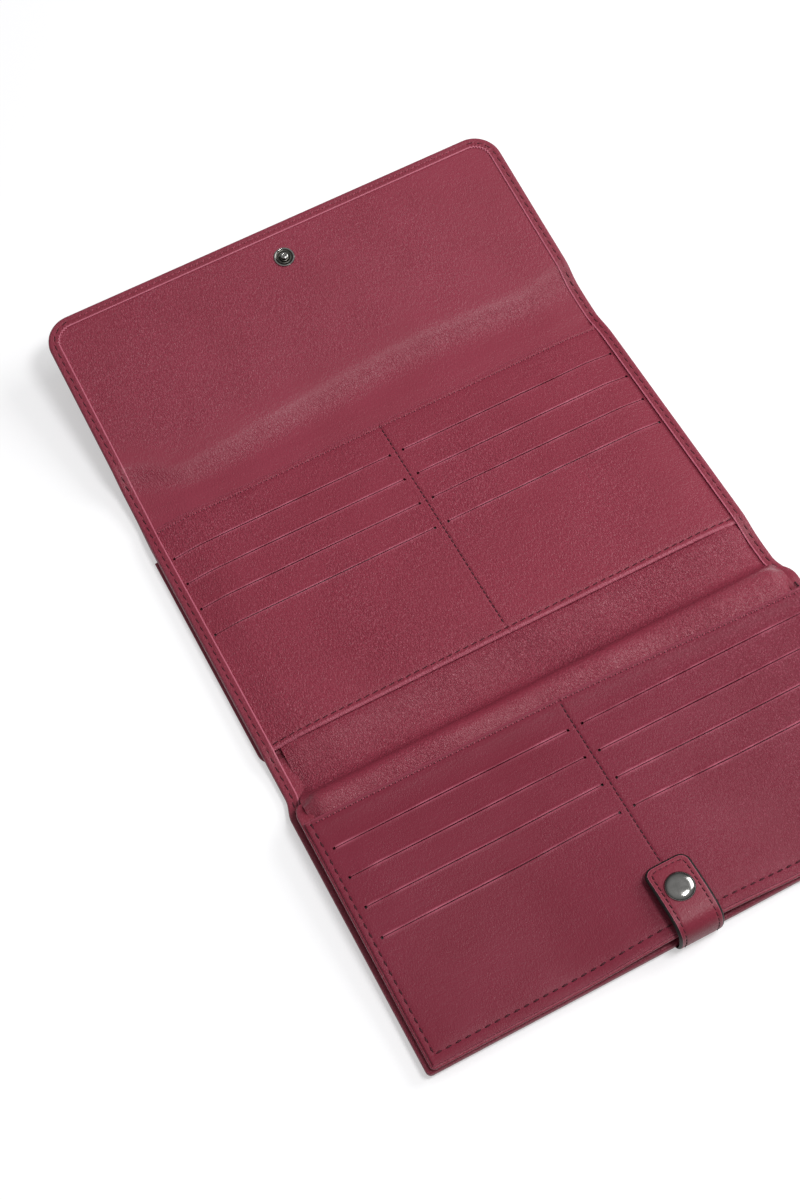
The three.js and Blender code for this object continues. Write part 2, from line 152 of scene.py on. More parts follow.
ROLL = 1.15
ROLL_TURNS = 8
HEM = 4.8
HEM_SEAM = 2.5
SEAM_DEPTH = -0.1
RING_STEP = 1.6


def turned_edge(corner, hem=HEM, seam=HEM_SEAM, roll=ROLL, cut_wear_and_highlight=1.0):
    """Rings of a turned edge, from a corner's centre out, over the roll and in to the hem's cut.

    Each ring is (inset from the edge, 1 if measured from the face, height, wear and painted highlight).
    """
    rings = [(inset, 0, 0.0, 0.0) for inset in even(corner, roll, RING_STEP)]
    for turn in range(1, ROLL_TURNS + 1):
        angle = math.pi * turn / ROLL_TURNS
        inset = roll - roll * math.sin(angle)
        if turn <= ROLL_TURNS / 2:
            rings.append((inset, 0, roll - roll * math.cos(angle), 0.08))
        else:
            rings.append((inset, 1, -roll - roll * math.cos(angle), 0.1))
    groove = [(seam - 0.75, 0.03, 0), (seam - 0.3, -0.04, 0), (seam, SEAM_DEPTH, 0)]
    past = [(seam + 0.3, -0.04, 0), (seam + 0.75, 0.04, 0), (hem - 1.0, 0.03, 0)]
    past = [ring for ring in past if seam < ring[0] < hem - 0.9]
    # The hem's cut is pale: the raw cut, with a painted highlight where its top catches the light.
    cut = [(hem - 0.6, 0.02, 0), (hem - 0.42, 0.0, cut_wear_and_highlight), (hem, -0.1, cut_wear_and_highlight)]
    rings += [(inset, 1, height, wear_and_highlight) for inset, height, wear_and_highlight in groove + past + cut]
    return rings


def flat_edge(corner, height):
    """Rings of a plain cut edge, at a height from the face."""
    return [(inset, 1, height, 0.0) for inset in even(corner, 0, RING_STEP)]


def as_width(half):
    """A half width as a function of the length, where it is only a number."""
    return half if callable(half) else lambda t: half


def leather_grid(columns, rows):
    """A grid of points to be placed, with layers for their wear and painted highlight, and how crumpled they
    are.
    """
    bm = bmesh.new()
    wear_and_highlight = bm.verts.layers.float.new("wear_and_highlight")
    crumpled = bm.verts.layers.float.new("crumple")
    bmesh.ops.create_grid(bm, x_segments=len(columns) - 1, y_segments=len(rows) - 1, size=1)
    bm.verts.ensure_lookup_table()
    return bm, wear_and_highlight, crumpled


END_STEP = 0.3
PLEATS = 36
PLEAT_REACH = 1.8
PLEATED_RINGS = 8
PLAIN_GRAIN = 0.35


def cut_leather(
    at, start, end, half, rings, cornered=False, step=(2.4, 1.6), lift=None, pleat=0.0, crumple=None
):
    """A sheet of leather along a line, with its side edges, and its end if cornered, as rings.

    A hem that is wider than the corner's radius is mitred there.
    """
    width = as_width(half)
    rim = range(len(rings))
    inner = width(end) - rings[0][0]
    columns = [(-1, k) for k in reversed(rim)]
    columns += [(0, x / inner) for x in even(-inner, inner, step[0])[1:-1]]
    columns += [(1, k) for k in rim]
    straight = end - rings[0][0] if cornered else end
    stations = [start, start + END_STEP] + even(start, straight, step[1])[1:-1]
    if not cornered:
        stations += [end - END_STEP, end]
    rows = [(0, t) for t in stations]
    if cornered:
        rows += [(1, k) for k in rim]
    round_part = [max(0.0, rings[0][0] - ring[0]) for ring in rings]
    mitre = [min(0.0, rings[0][0] - ring[0]) for ring in rings]

    bm, wear_and_highlight, crumpled = leather_grid(columns, rows)
    for index, vert in enumerate(bm.verts):
        row, column = divmod(index, len(columns))
        side, across = columns[column]
        last, along = rows[row]
        gather = 0.0
        if side and last:
            k = max(across, along)
            turn = math.pi / 4 * (min(across, along) / k if k else 0)
            turn = turn if across >= along else math.pi / 2 - turn
            x = side * (inner + mitre[k] + round_part[k] * math.cos(turn))
            t = straight + mitre[k] + round_part[k] * math.sin(turn)
            if pleat and rings[k][1] and rings[k][0] > ROLL and k >= len(rings) - PLEATED_RINGS:
                inward = (rings[k][0] - ROLL) / (rings[-1][0] - ROLL)
                gather = pleat * inward * math.cos(turn * PLEATS) * min(1.0, 1.8 * math.sin(turn * 2))
                x += side * gather * PLEAT_REACH * inward * math.cos(turn)
                t += gather * PLEAT_REACH * inward * math.sin(turn)
        elif last:
            k = along
            reach = inner + mitre[k]
            x, t = max(-reach, min(reach, across * inner)), end - rings[k][0]
        elif side:
            k = across
            x = side * (width(along) - rings[k][0])
            t = min(along, straight + mitre[k]) if cornered else along
        else:
            k = 0
            x, t = across * (width(along) - rings[0][0]), along
        _, from_face, height, worn_and_lit = rings[k]
        if not from_face:
            height -= at(t)[4]
        if lift:
            height += lift(x, t)
        vert.co = on(at, x, t, height + gather)
        # Pale where worn, and painted highlight where an edge catches the light.
        vert[wear_and_highlight] = worn_and_lit
        vert[crumpled] = crumple(x, t) if crumple else PLAIN_GRAIN
    bmesh.ops.remove_doubles(bm, verts=bm.verts[:], dist=0.002 * MM)
    return bm


def thicken(bm, thickness, rim_slot=1):
    """Gives a sheet its thickness, behind its face, with its cut rim in a finish of its own."""
    bm.normal_update()
    faces = bm.faces[:]
    made = bmesh.ops.extrude_face_region(bm, geom=faces, use_keep_orig=True)["geom"]
    behind = {part for part in made if isinstance(part, bmesh.types.BMVert)}
    for vert in behind:
        vert.co -= vert.normal * thickness * MM
    for face in bm.faces:
        backs = sum(vert in behind for vert in face.verts)
        if 0 < backs < len(face.verts):
            face.material_index = rim_slot
            for edge in face.edges:
                if sum(vert in behind for vert in edge.verts) != 1:
                    edge.smooth = False
    bmesh.ops.recalc_face_normals(bm, faces=bm.faces[:])


def to_mesh(name, bm):
    """The finished mesh of a working one."""
    mesh = bpy.data.meshes.new(name)
    bm.to_mesh(mesh)
    bm.free()
    return mesh


def to_scene(name, data):
    """A new object in the scene."""
    made = bpy.data.objects.new(name, data)
    bpy.context.scene.collection.objects.link(made)
    return made


def lay_piece(name, bm, finishes, body, nodes=(), bend=None):
    """Turns a mesh into a piece: its finishes, its body or bend, and the nodes it stands for."""
    for face in bm.faces:
        face.smooth = True
    piece = to_scene(name, to_mesh(name, bm))
    for finish in finishes:
        piece.data.materials.append(finish)
    if bend:
        first, second, begin, stop = bend
        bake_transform(piece, first, second, begin * MM, stop * MM)
    else:
        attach(piece, body)
    if nodes:
        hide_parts(*nodes)
    return piece


def sheet_piece(name, bm, thickness, finish, nodes, body=None, bend=None, over=False):
    """A sheet as a piece: thick, with a pale cut rim, and turned over where its face is below."""
    if over:
        bmesh.ops.reverse_faces(bm, faces=bm.faces[:])
    thicken(bm, thickness)
    return lay_piece(name, bm, [finish, CUT_EDGE], body, nodes, bend)


def node_tool(tree):
    """Short hands for placing nodes in a tree, each with values or links for its inputs."""
    def place(kind, inputs=None, **settings):
        node = tree.nodes.new(kind)
        for key, value in settings.items():
            setattr(node, key, value)
        for key, value in (inputs or {}).items():
            if hasattr(value, "is_linked"):
                tree.links.new(value, node.inputs[key])
            else:
                node.inputs[key].default_value = value
        return node

    def sum_up(operation, *values):
        return place("ShaderNodeMath", dict(enumerate(values)), operation=operation).outputs[0]

    def remap(*values):
        inputs = dict(enumerate(values))
        return place("ShaderNodeMapRange", inputs, interpolation_type="SMOOTHSTEP").outputs[0]

    def mix(factor, first, second):
        return place("ShaderNodeMix", {0: factor, 6: first, 7: second}, data_type="RGBA").outputs[2]

    return place, sum_up, remap, mix


def fresh_nodes(owner):
    """Clears the nodes of a material or world, and gives the short hands for its tree."""
    owner.use_nodes = True
    owner.node_tree.nodes.clear()
    return node_tool(owner.node_tree)


def show(place, look, height=None, strength=0.0, distance=0.0):
    """Shows a look, which has values or links for a shader's inputs, bumped by a height."""
    if height is not None:
        bump = place("ShaderNodeBump", {"Height": height, "Strength": strength, "Distance": distance * MM})
        look["Normal"] = bump.outputs[0]
    shader = place("ShaderNodeBsdfPrincipled", look)
    place("ShaderNodeOutputMaterial", {"Surface": shader.outputs[0]})


def grain_group():
    """Tumbled hide: pebbles of two sizes, a few creases, fine fibre, slow tones, and pale specks that are a
    painted highlight, the glints of a lit grain.

    Crumple says how far the hide is worked at a place, which raises its pebbles and the painted glint
    specks.
    """
    tree = bpy.data.node_groups.new("hide_grain", "ShaderNodeTree")
    sockets = {"INPUT": ("Pebble", "Crumple"), "OUTPUT": ("Height", "Valley", "Tone", "Glint")}
    for in_out, names in sockets.items():
        for name in names:
            tree.interface.new_socket(name, in_out=in_out, socket_type="NodeSocketFloat")
    place, sum_up, remap, _ = node_tool(tree)
    inside = place("NodeGroupInput").outputs
    crumple = inside["Crumple"]
    where = place("ShaderNodeTexCoord").outputs["Object"]
    mm = place("ShaderNodeVectorMath", {0: where, "Scale": 1 / MM}, operation="SCALE").outputs[0]

    def turned(vector, stretch, turn):
        inputs = {"Vector": vector, "Scale": stretch, "Rotation": (0, 0, turn)}
        return place("ShaderNodeMapping", inputs).outputs[0]

    def cloudy(scale, detail, roughness=0.5, stretch=None, output=0):
        vector = turned(mm, stretch, 0.5) if stretch else mm
        inputs = {"Vector": vector, "Scale": scale, "Detail": detail, "Roughness": roughness}
        return place("ShaderNodeTexNoise", inputs).outputs[output]

    drift = {0: cloudy(0.55, 2, output="Color"), 1: (1.5, 1.5, 1.5), 2: mm}
    drifted = place("ShaderNodeVectorMath", drift, operation="MULTIPLY_ADD").outputs[0]

    def wrinkles(stretch, turn, times, wide):
        scale = sum_up("MULTIPLY", inside["Pebble"], times)
        inputs = {"Vector": turned(drifted, stretch, turn), "Scale": scale}
        node = place("ShaderNodeTexVoronoi", inputs, feature="DISTANCE_TO_EDGE")
        return remap(node.outputs["Distance"], 0.0, wide)

    def add(value, times, to):
        return sum_up("MULTIPLY_ADD", value, times, to)

    broad = wrinkles((1.5, 0.5, 1.0), 0.2, 1.0, 0.26)
    small = wrinkles((1.3, 0.8, 1.0), -0.3, 2.2, 0.4)
    patch = remap(cloudy(0.045, 2), 0.38, 0.62)
    crease = cloudy(0.16, 3, 0.6, (0.5, 1.6, 1.0))
    crease = remap(sum_up("ABSOLUTE", sum_up("SUBTRACT", crease, 0.5)), 0.0, 0.05)
    fibre = cloudy(1.4, 3, 0.6, (2.0, 0.8, 1.0))
    # Pale specks: a painted highlight, glints where the grain catches the light.
    glint_specks = remap(cloudy(1.7, 2), 0.54, 0.68)
    height = sum_up("MULTIPLY", broad, add(crumple, 0.62, add(patch, 0.14, 0.06)))
    height = add(small, add(crumple, 0.25, 0.07), height)
    place("NodeGroupOutput", {
        "Height": add(fibre, 0.22, add(crease, 0.12, height)),
        "Valley": sum_up("MULTIPLY", add(broad, 0.6, 0.4), small),
        "Tone": cloudy(0.028, 4, 0.55),
        "Glint": sum_up("MULTIPLY", glint_specks, crumple),
    })
    return tree


GRAIN = grain_group()
# The pale of worn leather, which is also the colour of painted highlight: glint specks and lit edges.
WORN_AND_LIT = (0.50, 0.13, 0.19, 1)


def leather(name, deep, fair, polish, pebble=0.62, depth=0.3, gloss=0.26):
    """Burgundy hide with a satin finish, paler where an edge is worn or a cut shows and where highlight is
    painted, and darker where shade is painted in its grain's valleys.
    """
    finish = bpy.data.materials.new(name)
    place, sum_up, remap, mix = fresh_nodes(finish)
    crumple = place("ShaderNodeAttribute", attribute_name="crumple").outputs["Fac"]
    wear_and_highlight = place("ShaderNodeAttribute", attribute_name="wear_and_highlight").outputs["Fac"]
    grain = place("ShaderNodeGroup", {"Pebble": pebble, "Crumple": crumple}, node_tree=GRAIN)
    tone = remap(grain.outputs["Tone"], 0.32, 0.68)
    shade = (*[c * 0.55 for c in deep], 1)
    colour = mix(tone, (*deep, 1), (*fair, 1))
    # Painted shade: the grain's valleys are darkened, as shade falls in them.
    colour = mix(remap(grain.outputs["Valley"], 0.0, 0.75, 0.16, 0.0), colour, shade)
    # Painted highlight: pale glint specks over worked grain.
    colour = mix(sum_up("MULTIPLY", grain.outputs["Glint"], 0.45), colour, WORN_AND_LIT)
    # Pale along worn edges, and painted highlight along lit cut edges, lips and rolled edges.
    colour = mix(sum_up("MULTIPLY", wear_and_highlight, 0.75), colour, WORN_AND_LIT)
    rough = sum_up("MULTIPLY_ADD", tone, -0.07, polish)
    rough = sum_up("ADD", remap(grain.outputs["Valley"], 0.1, 0.9, 0.12, 0.0), rough)
    look = {"Base Color": colour, "Roughness": rough, "Specular IOR Level": gloss}
    show(place, look, grain.outputs["Height"], depth, 0.4)
    return finish


def plain_finish(name, first, second, size, roughness, depth, metallic=0.0, spread=0.08):
    """A finish with a mottled tone and a fine bump, for thread, cut leather, paint and board."""
    finish = bpy.data.materials.new(name)
    place, _, remap, mix = fresh_nodes(finish)
    mottle = place("ShaderNodeTexNoise", {
        "Vector": place("ShaderNodeTexCoord").outputs["Object"],
        "Scale": 1 / (size * MM),
        "Detail": 4,
        "Roughness": 0.6,
    }).outputs[0]
    look = {
        "Base Color": mix(remap(mottle, 0.3, 0.7), (*first, 1), (*second, 1)),
        "Roughness": remap(mottle, 0.3, 0.7, roughness - spread, roughness + spread),
        "Metallic": metallic,
        "Specular IOR Level": 0.5 if metallic else 0.2,
    }
    show(place, look, mottle, depth, 0.3)
    return finish


COVER = leather("cover_leather", (0.196, 0.0215, 0.039), (0.216, 0.0255, 0.046), 0.36, 0.66, 0.5)
CUT_EDGE = plain_finish("cut_edge", (0.48, 0.14, 0.20), (0.62, 0.22, 0.30), 0.4, 0.85, 0.4)
THREAD = plain_finish("thread", (0.045, 0.008, 0.013), (0.08, 0.013, 0.022), 0.25, 0.6, 0.6)
NEEDLE_HOLE_SHADE = plain_finish("needle_hole_shade", (0.016, 0.004, 0.007), (0.03, 0.007, 0.011), 0.3, 0.8, 0.2)
STITCH = 4.0


def along_line(line, pitch):
    """Even places on a line of (point, normal), a pitch apart."""
    lengths = measured([point for point, _ in line])
    count = max(2, round(lengths[-1] / (pitch * MM)))
    found = []
    for step in range(count + 1):
        k, f = find(lengths, lengths[-1] * step / count)
        found.append([a.lerp(b, f) for a, b in zip(line[k], line[k + 1])])
    return found


def bead_mesh(slot):
    """A small round bead, 1 mm in radius, in one of a seam's two finishes."""
    bm = bmesh.new()
    bmesh.ops.create_uvsphere(bm, u_segments=6, v_segments=5, radius=MM)
    for face in bm.faces:
        face.material_index = slot
    return to_mesh("bead", bm)


BEADS = [bead_mesh(slot) for slot in (0, 1)]


def sew(name, lines, body, bend=None, pitch=STITCH, thread=0.58, lean=0.16, shown=0.5, finish=THREAD):
    """A row of lock stitches along each line, pulled into needle holes at their ends, which are near-black
    beads as painted shade.

    thread is its width, lean how far a stitch slants and shown its part above the leather.
    """
    bm = bmesh.new()

    def bead(centre, along, side, raised, size, slot):
        turn = Matrix((raised, side, along)).transposed().to_4x4()
        scale = Matrix.Diagonal((size[2], size[1], size[0], 1))
        made = BEADS[slot].copy()
        made.transform(Matrix.Translation(centre) @ turn @ scale)
        bm.from_mesh(made)
        bpy.data.meshes.remove(made)

    for line in lines:
        holes = along_line(line, pitch)
        for (a, up), (b, _) in zip(holes, holes[1:]):
            along = (b - a).normalized()
            side = up.cross(along).normalized()
            along = (along + side * lean).normalized()
            side = up.cross(along).normalized()
            raised = along.cross(side)
            half = (b - a).length / MM * shown / 2
            bead((a + b) / 2, along, side, raised, (half, thread / 2, thread * 0.42), 0)
            # At each end a near-black bead: painted shade in the needle hole.
            for end in (-1, 1):
                sunk = (a + b) / 2 + along * end * half * MM
                bead(sunk, along, side, raised, (thread * 0.45, thread * 0.5, 0.1), 1)
    lay_piece(name, bm, [finish, NEEDLE_HOLE_SHADE], body, bend=bend)


SEAM_STEP = 1.5


def seam_line(at, places, height, sign):
    """A seam through (x, t) places of a sheet, on its face, or on its back if sign is -1."""
    line = []
    for x, t in places:
        _, _, normal_y, normal_z, thickness = at(t)
        level = height if sign > 0 else -thickness - height
        line.append((on(at, x, t, level), Vector((0, normal_y, normal_z)) * sign))
    return line


def side_seams(at, start, end, half):
    """Seam lines down both side hems of a sheet."""
    lines = []
    for side in (-1, 1):
        places = [(side * (half(t) - HEM_SEAM), t) for t in even(start, end, SEAM_STEP)]
        lines.append(seam_line(at, places, SEAM_DEPTH, 1))
    return lines


def round_seam(at, start, end, half, corner, inset, height, sign=1):
    """One seam line down a side, round the end and back up the other side."""
    width = as_width(half)
    radius, inner, straight = corner - inset, width(end) - corner, end - corner
    bends = even(0, math.pi / 2, 0.2)
    places = [(-(width(t) - inset), t) for t in even(start, straight, SEAM_STEP)]
    places += [(-inner - radius * math.cos(a), straight + radius * math.sin(a)) for a in bends[1:]]
    places += [(x, end - inset) for x in even(-inner, inner, 4)[1:-1]]
    places += [(inner + radius * math.sin(a), straight + radius * math.cos(a)) for a in bends]
    places += [(width(t) - inset, t) for t in even(straight, start, SEAM_STEP)[1:]]
    return [seam_line(at, places, height, sign)]


def bend_across(first, second, name, before, after):
    """The stretch of a piece that turns at a fold, from before it to after it, along Y."""
    here = fold[name]
    return first, second, here + Vector((0, before, 0)), here + Vector((0, after, 0))


HIDE = 0.9
BACK_HALF = 105.0
FLAP_HALF = 104.6
FRONT_HALF = 107.0
MID_BACK = 57.0
FLAP_TILT = math.radians(12.1)
FLAP_LENGTH = 72.7
FLAP_THICK = 2.6
FLAP_BULGE = ((3.5, 0.15), (7, 0.18), (14, 0.1), (25, 0.02), (45, 0), (FLAP_LENGTH, 0))
flap_y, flap_z = fold["flap_fold"].y, fold["flap_fold"].z


def on_flap(distance, bulge):
    """A point of the flap's face, at a distance from its fold."""
    y = flap_y + distance * math.cos(FLAP_TILT)
    z = flap_z + distance * math.sin(FLAP_TILT)
    return y, z + bulge, FLAP_THICK


upper_at, upper_marks = lay(
    [(SPINE_Y + v, z, thickness) for v, z, thickness in (
        (MID_BACK, 6.45, 5.2), (80, 6.45, 5.2), (100, 6.45, 5.2), (108, 6.3, 5.0),
        (113.5, 5.75, 4.3), (118.1, 5.25, 3.4), (121.5, 5.7, 2.9), (125, 6.15, 2.6), (129.5, 6.85, 2.6),
        (133.2, 7.6, 2.6), (136.1, 8.5, 2.6), (138, 9.55, 2.6), (139.8, 10.7, 2.6), (141.7, 11.9, 2.6),
        (143.2, 12.6, 2.6),
    )]
    + [on_flap(*place) for place in FLAP_BULGE],
    1,
)
MID_BAND = upper_marks[8]
FLAP_END = upper_marks[-1]
FLAP_FROM = FLAP_END - FLAP_LENGTH


def upper_half(t):
    """The half width of the leather from the middle of the back to the flap."""
    return BACK_HALF + (FLAP_HALF - BACK_HALF) * ease(t, 50, 66)


lower_at, lower_marks = lay(
    [(SPINE_Y + v, z, thickness) for v, z, thickness in (
        (MID_BACK, 6.45, 5.2), (30, 6.45, 5.2), (10, 6.45, 5.2), (5, 6.35, 5.1),
        (1.5, 5.75, 4.5), (-2, 4.8, 3.55), (-6, 4.2, 2.95), (-10.2, 4.05, 2.8),
        (-16, 4.05, 2.8), (-20.45, 4.35, 2.6), (-24.5, 4.85, 2.75), (-29, 5.0, 2.9),
        (-60, 5.1, 3.0), (-134.0, 5.6, 3.5),
    )],
    -1,
)
MID_SPINE = lower_marks[7]
FRONT_END = lower_marks[-1]


def lower_half(t):
    """The half width of the leather from the middle of the back to the front section."""
    return BACK_HALF + (FRONT_HALF - BACK_HALF) * ease(t, MID_SPINE + 6, MID_SPINE + 15)


SIDE_RINGS = turned_edge(9.0)
band_bend = bend_across("back", "flap_band", "flap_band_fold", -5, 5)
spine_bend = bend_across("back", "spine", "spine_fold", 4, -4)

bm = cut_leather(upper_at, 0, MID_BAND, upper_half, SIDE_RINGS)
sheet_piece(
    "back_upper_hide", bm, HIDE, COVER, ("back_cover", "flap_band_cover"),
    bend=band_bend, over=True,
)
sew("back_upper_stitches", side_seams(upper_at, 0, MID_BAND, upper_half), None, band_bend)

bm = cut_leather(lower_at, 0, MID_SPINE, lower_half, SIDE_RINGS)
sheet_piece(
    "back_lower_hide", bm, HIDE, COVER, ("back_cover", "spine_cover"), bend=spine_bend
)
sew("back_lower_stitches", side_seams(lower_at, 0, MID_SPINE, lower_half), None, spine_bend)

# Back section, slip pocket on the outside.
# A second panel of the same leather lies on the outside of the back, sewn down both sides and
# along the fold, and open towards the flap.
low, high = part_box("back_pocket_panel")
POCKET_HALF = high.x / MM
POCKET_CORNER = 6
pocket_at, pocket_marks = lay([(high.y / MM, 1.0, 1.0), (20, 1.0, 1.0), (low.y / MM, 1.0, 1.0)], -1)
POCKET_END = pocket_marks[-1]
POCKET_RINGS = [(inset, 0, 0, 0.0) for inset in even(POCKET_CORNER, 0.5, 1.4)] + [
    (0.14, 0, 0.12, 0.2), (0, 0, 0.45, 0.3), (0.1, 1, -0.15, 0.3), (0.4, 1, 0, 0.2), (2.2, 1, 0, 0),
]
bm = cut_leather(pocket_at, 0, POCKET_END, POCKET_HALF, POCKET_RINGS, cornered=True)
sheet_piece("back_pocket_leather", bm, 0.45, COVER, ("back_pocket_panel",), "back")
pocket_seam = round_seam(pocket_at, 2, POCKET_END, POCKET_HALF, POCKET_CORNER, 2.6, -0.05, -1)
sew("back_pocket_stitches", pocket_seam, "back")

# Back section, board and lining.
# A thin fibre board keeps the back flat between the outer leather and a skiver lining, which
# is the inside of the long note pocket behind the card slots and runs on over the flap band.
BOARD = plain_finish("fibre_board", (0.16, 0.12, 0.09), (0.24, 0.19, 0.14), 0.9, 0.9, 0.5)
LINING = leather("lining_leather", (0.228, 0.0275, 0.049), (0.246, 0.0315, 0.056), 0.32, 0.75, 0.7)


def board(name, node, body):
    """A sheet of board in a node's place, with its corners and edges eased by sanding."""
    low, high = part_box(node)
    bm = bmesh.new()
    size = Matrix.Diagonal((*(high - low), 1))
    bmesh.ops.create_cube(bm, size=1, matrix=Matrix.Translation((low + high) / 2) @ size)
    for upright, offset, segments in ((True, 3.0, 5), (False, 0.1, 2)):
        edges = [e for e in bm.edges if upright == (abs(e.verts[0].co.z - e.verts[1].co.z) > 0.1 * MM)]
        bmesh.ops.bevel(
            bm, geom=edges, offset=offset * MM, affect="EDGES", segments=segments, profile=0.5, material=-1
        )
    piece = lay_piece(name, bm, [BOARD], body, (node,))
    for face in piece.data.polygons:
        face.use_smooth = False


board("back_board", "back_stiffener", "back")


def soft(x, y, size, amount):
    """A slow rise and fall, as leather has that isn't pulled flat."""
    return amount * noise.noise(Vector((x / size, y / size, 3.7)))


def ridge_drawn(x, t):
    """How far the lining's step over the fold is drawn down, so that it runs in an arc."""
    drawn = 0.078 * math.hypot(x - 36, 15) * ease(102 - abs(x), 2, 26)
    return drawn * ease(t, 60, 72) * (1 - ease(t, 92, 116))


def lining_lift(x, t):
    """The lining's place under the slot panel, its slow waves and its step over the fold."""
    sink = -2.2 * (1 - ease(t, 48, 63))
    wave = soft(x, t, 55, 0.3) + soft(x + 40, t, 22, 0.1)
    wave += 1.2 * ease(t, 48, 60) * (1 - ease(t, 60, 84))
    wave *= ease(104 - abs(x), 2, 22) * ease(FLAP_END - t, 3, 20)
    drawn = ridge_drawn(x, t)
    return sink + wave + upper_at(t + drawn)[1] - upper_at(t)[1] - drawn * math.sin(FLAP_TILT)


def lining_crumple(x, t):
    """A little crumpled on the ridge, smooth in the valley, with loose grain over the flap."""
    t += ridge_drawn(x, t)
    step = 0.4 * ease(t, 72, 78) * (1 - ease(t, 82, 88))
    loose = (0.4 - 0.002 * x + soft(x, t, 45, 0.3)) * ease(t, 90, 103)
    return max(0.05, step, loose)


SKIN = 0.6
LINING_INSET = 1.7
LINING_SINK = -0.5
LOWER_SINK = -0.95
STRIP_EDGE = 4


def upper_lining(name, start, end, rings, node, bend, cornered=False):
    """A length of the lining that runs over the back, the band and the flap."""
    bm = cut_leather(
        upper_at, start, end, lambda t: upper_half(t) - LINING_INSET, rings,
        cornered=cornered, lift=lining_lift, crumple=lining_crumple,
    )
    nodes = (node, "flap_band_lining")
    sheet_piece(name, bm, SKIN, LINING, nodes, bend=bend)


upper_lining("band_lining", 0, MID_BAND, flat_edge(STRIP_EDGE, LINING_SINK), "back_lining", band_bend)


def lower_lining_lift(x, t):
    """The lining's place under the bags, and lower under the slot panel's lip."""
    return -1.75 - 0.35 * ease(t, 48, 56)


bm = cut_leather(
    lower_at, 0, lower_marks[4], lambda t: lower_half(t) - LINING_INSET, flat_edge(STRIP_EDGE, LOWER_SINK),
    lift=lower_lining_lift,
)
sheet_piece(
    "back_lower_lining", bm, SKIN, LINING, ("back_lining",), "back", over=True
)

# Back section, card bags.
# Behind each slit hangs a flat bag of thin woven lining cloth, sewn in along its sides, that
# stops a card from sliding down. Only a line of it shows through the slit.
SLITS = (3.0, 98.8)
BACK_ROWS = [SPINE_Y + v for v in (58.48, 71.52, 84.56, 97.6)]


def weave_finish():
    """Fine plain-woven cloth: two crossed sets of threads."""
    finish = bpy.data.materials.new("pocket_cloth")
    place, sum_up, remap, mix = fresh_nodes(finish)
    where = place("ShaderNodeTexCoord").outputs["Object"]
    sets = []
    for turn in (0, math.pi / 2):
        along = place("ShaderNodeMapping", {"Vector": where, "Rotation": (0, 0, turn)}).outputs[0]
        wave = place("ShaderNodeTexWave", {"Vector": along, "Scale": 900, "Distortion": 0.6})
        sets.append(wave.outputs["Fac"])
    weave = sum_up("MAXIMUM", *sets)
    look = {
        "Base Color": mix(weave, (0.035, 0.008, 0.013, 1), (0.085, 0.022, 0.034, 1)),
        "Roughness": remap(weave, 0, 1, 0.95, 0.75),
        "Sheen Weight": 0.25,
    }
    show(place, look, weave, 0.5, 0.1)
    return finish


CLOTH = weave_finish()


def card_bags(section, drop):
    """The eight cloth bags of a section, each in its node's place and eased down at the sides."""
    for side in ("left", "right"):
        for row in range(1, 5):
            node = f"{section}_card_bag_{side}_{row}"
            low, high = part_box(node)
            bm = bmesh.new()
            bmesh.ops.create_grid(bm, x_segments=32, y_segments=14, size=0.5)
            bmesh.ops.scale(bm, vec=(high.x - low.x, high.y - low.y, 1), verts=bm.verts[:])
            middle = ((low.x + high.x) / 2, (low.y + high.y) / 2, high.z)
            bmesh.ops.translate(bm, vec=middle, verts=bm.verts[:])
            for vert in bm.verts:
                x, y = vert.co.x / MM, vert.co.y / MM
                vert.co.z += (drop(x, y) + soft(x, y, 25, 0.05)) * MM
            bmesh.ops.solidify(bm, geom=bm.faces[:], thickness=0.22 * MM)
            bag = lay_piece(node + "_cloth", bm, [CLOTH], section, (node,))


def back_drop(x, y):
    """How far the back's panel and bags go down towards the side hems."""
    return -1.5 * ease(abs(x), 86, 101.5)


card_bags("back", back_drop)

# Back section, slot panel.
# A panel of the same leather with two columns of four card slits either side of a centre seam.
# Its upper edge is turned and sewn, its lower edge is a rolled lip over the spine, and its
# sides lie under the hems. Each slit is cut between two small punched holes.
PANEL = leather("panel_leather", (0.219, 0.024, 0.0445), (0.237, 0.0285, 0.051), 0.34, 0.7, 0.75)
# The panels' cut rim, the slits' walls included, is dark as painted shade, for the shade inside the slits.
SLIT_SHADE = plain_finish("slit_shade_edge", (0.10, 0.022, 0.032), (0.15, 0.035, 0.05), 0.4, 0.75, 0.3)
SLIT_OPEN = 0.1
HOLE = 0.5
TOUCH = 1e-4
PANEL_SKIN = 0.7
LIP_RISE = {0.1: 0.04, 0.3: 0.13, 0.55: 0.15, 0.9: 0.08, 1.3: 0.02, 1.9: 0.0}
# Pale of the slits' lips: the cut's own pale, with painted highlight where the raised lips catch the light.
LIP_WEAR_AND_HIGHLIGHT = {0.1: 0.2, 0.3: 0.8, 0.55: 0.6, 0.9: 0.1}
LIPS = [s * d for s in (-1, 1) for d in LIP_RISE]
SEAM_COLUMNS = {-1.5: 0.05, -0.8: 0.04, -0.4: -0.08, 0.0: -0.3, 0.4: -0.08, 0.8: 0.04, 1.5: 0.05}


def merge_places(fixed, low, high, step):
    """The fixed places, with even ones between them where there is room."""
    rest = [p for p in even(low, high, step) if all(abs(p - f) > step * 0.45 for f in fixed)]
    return sorted(list(fixed) + rest)


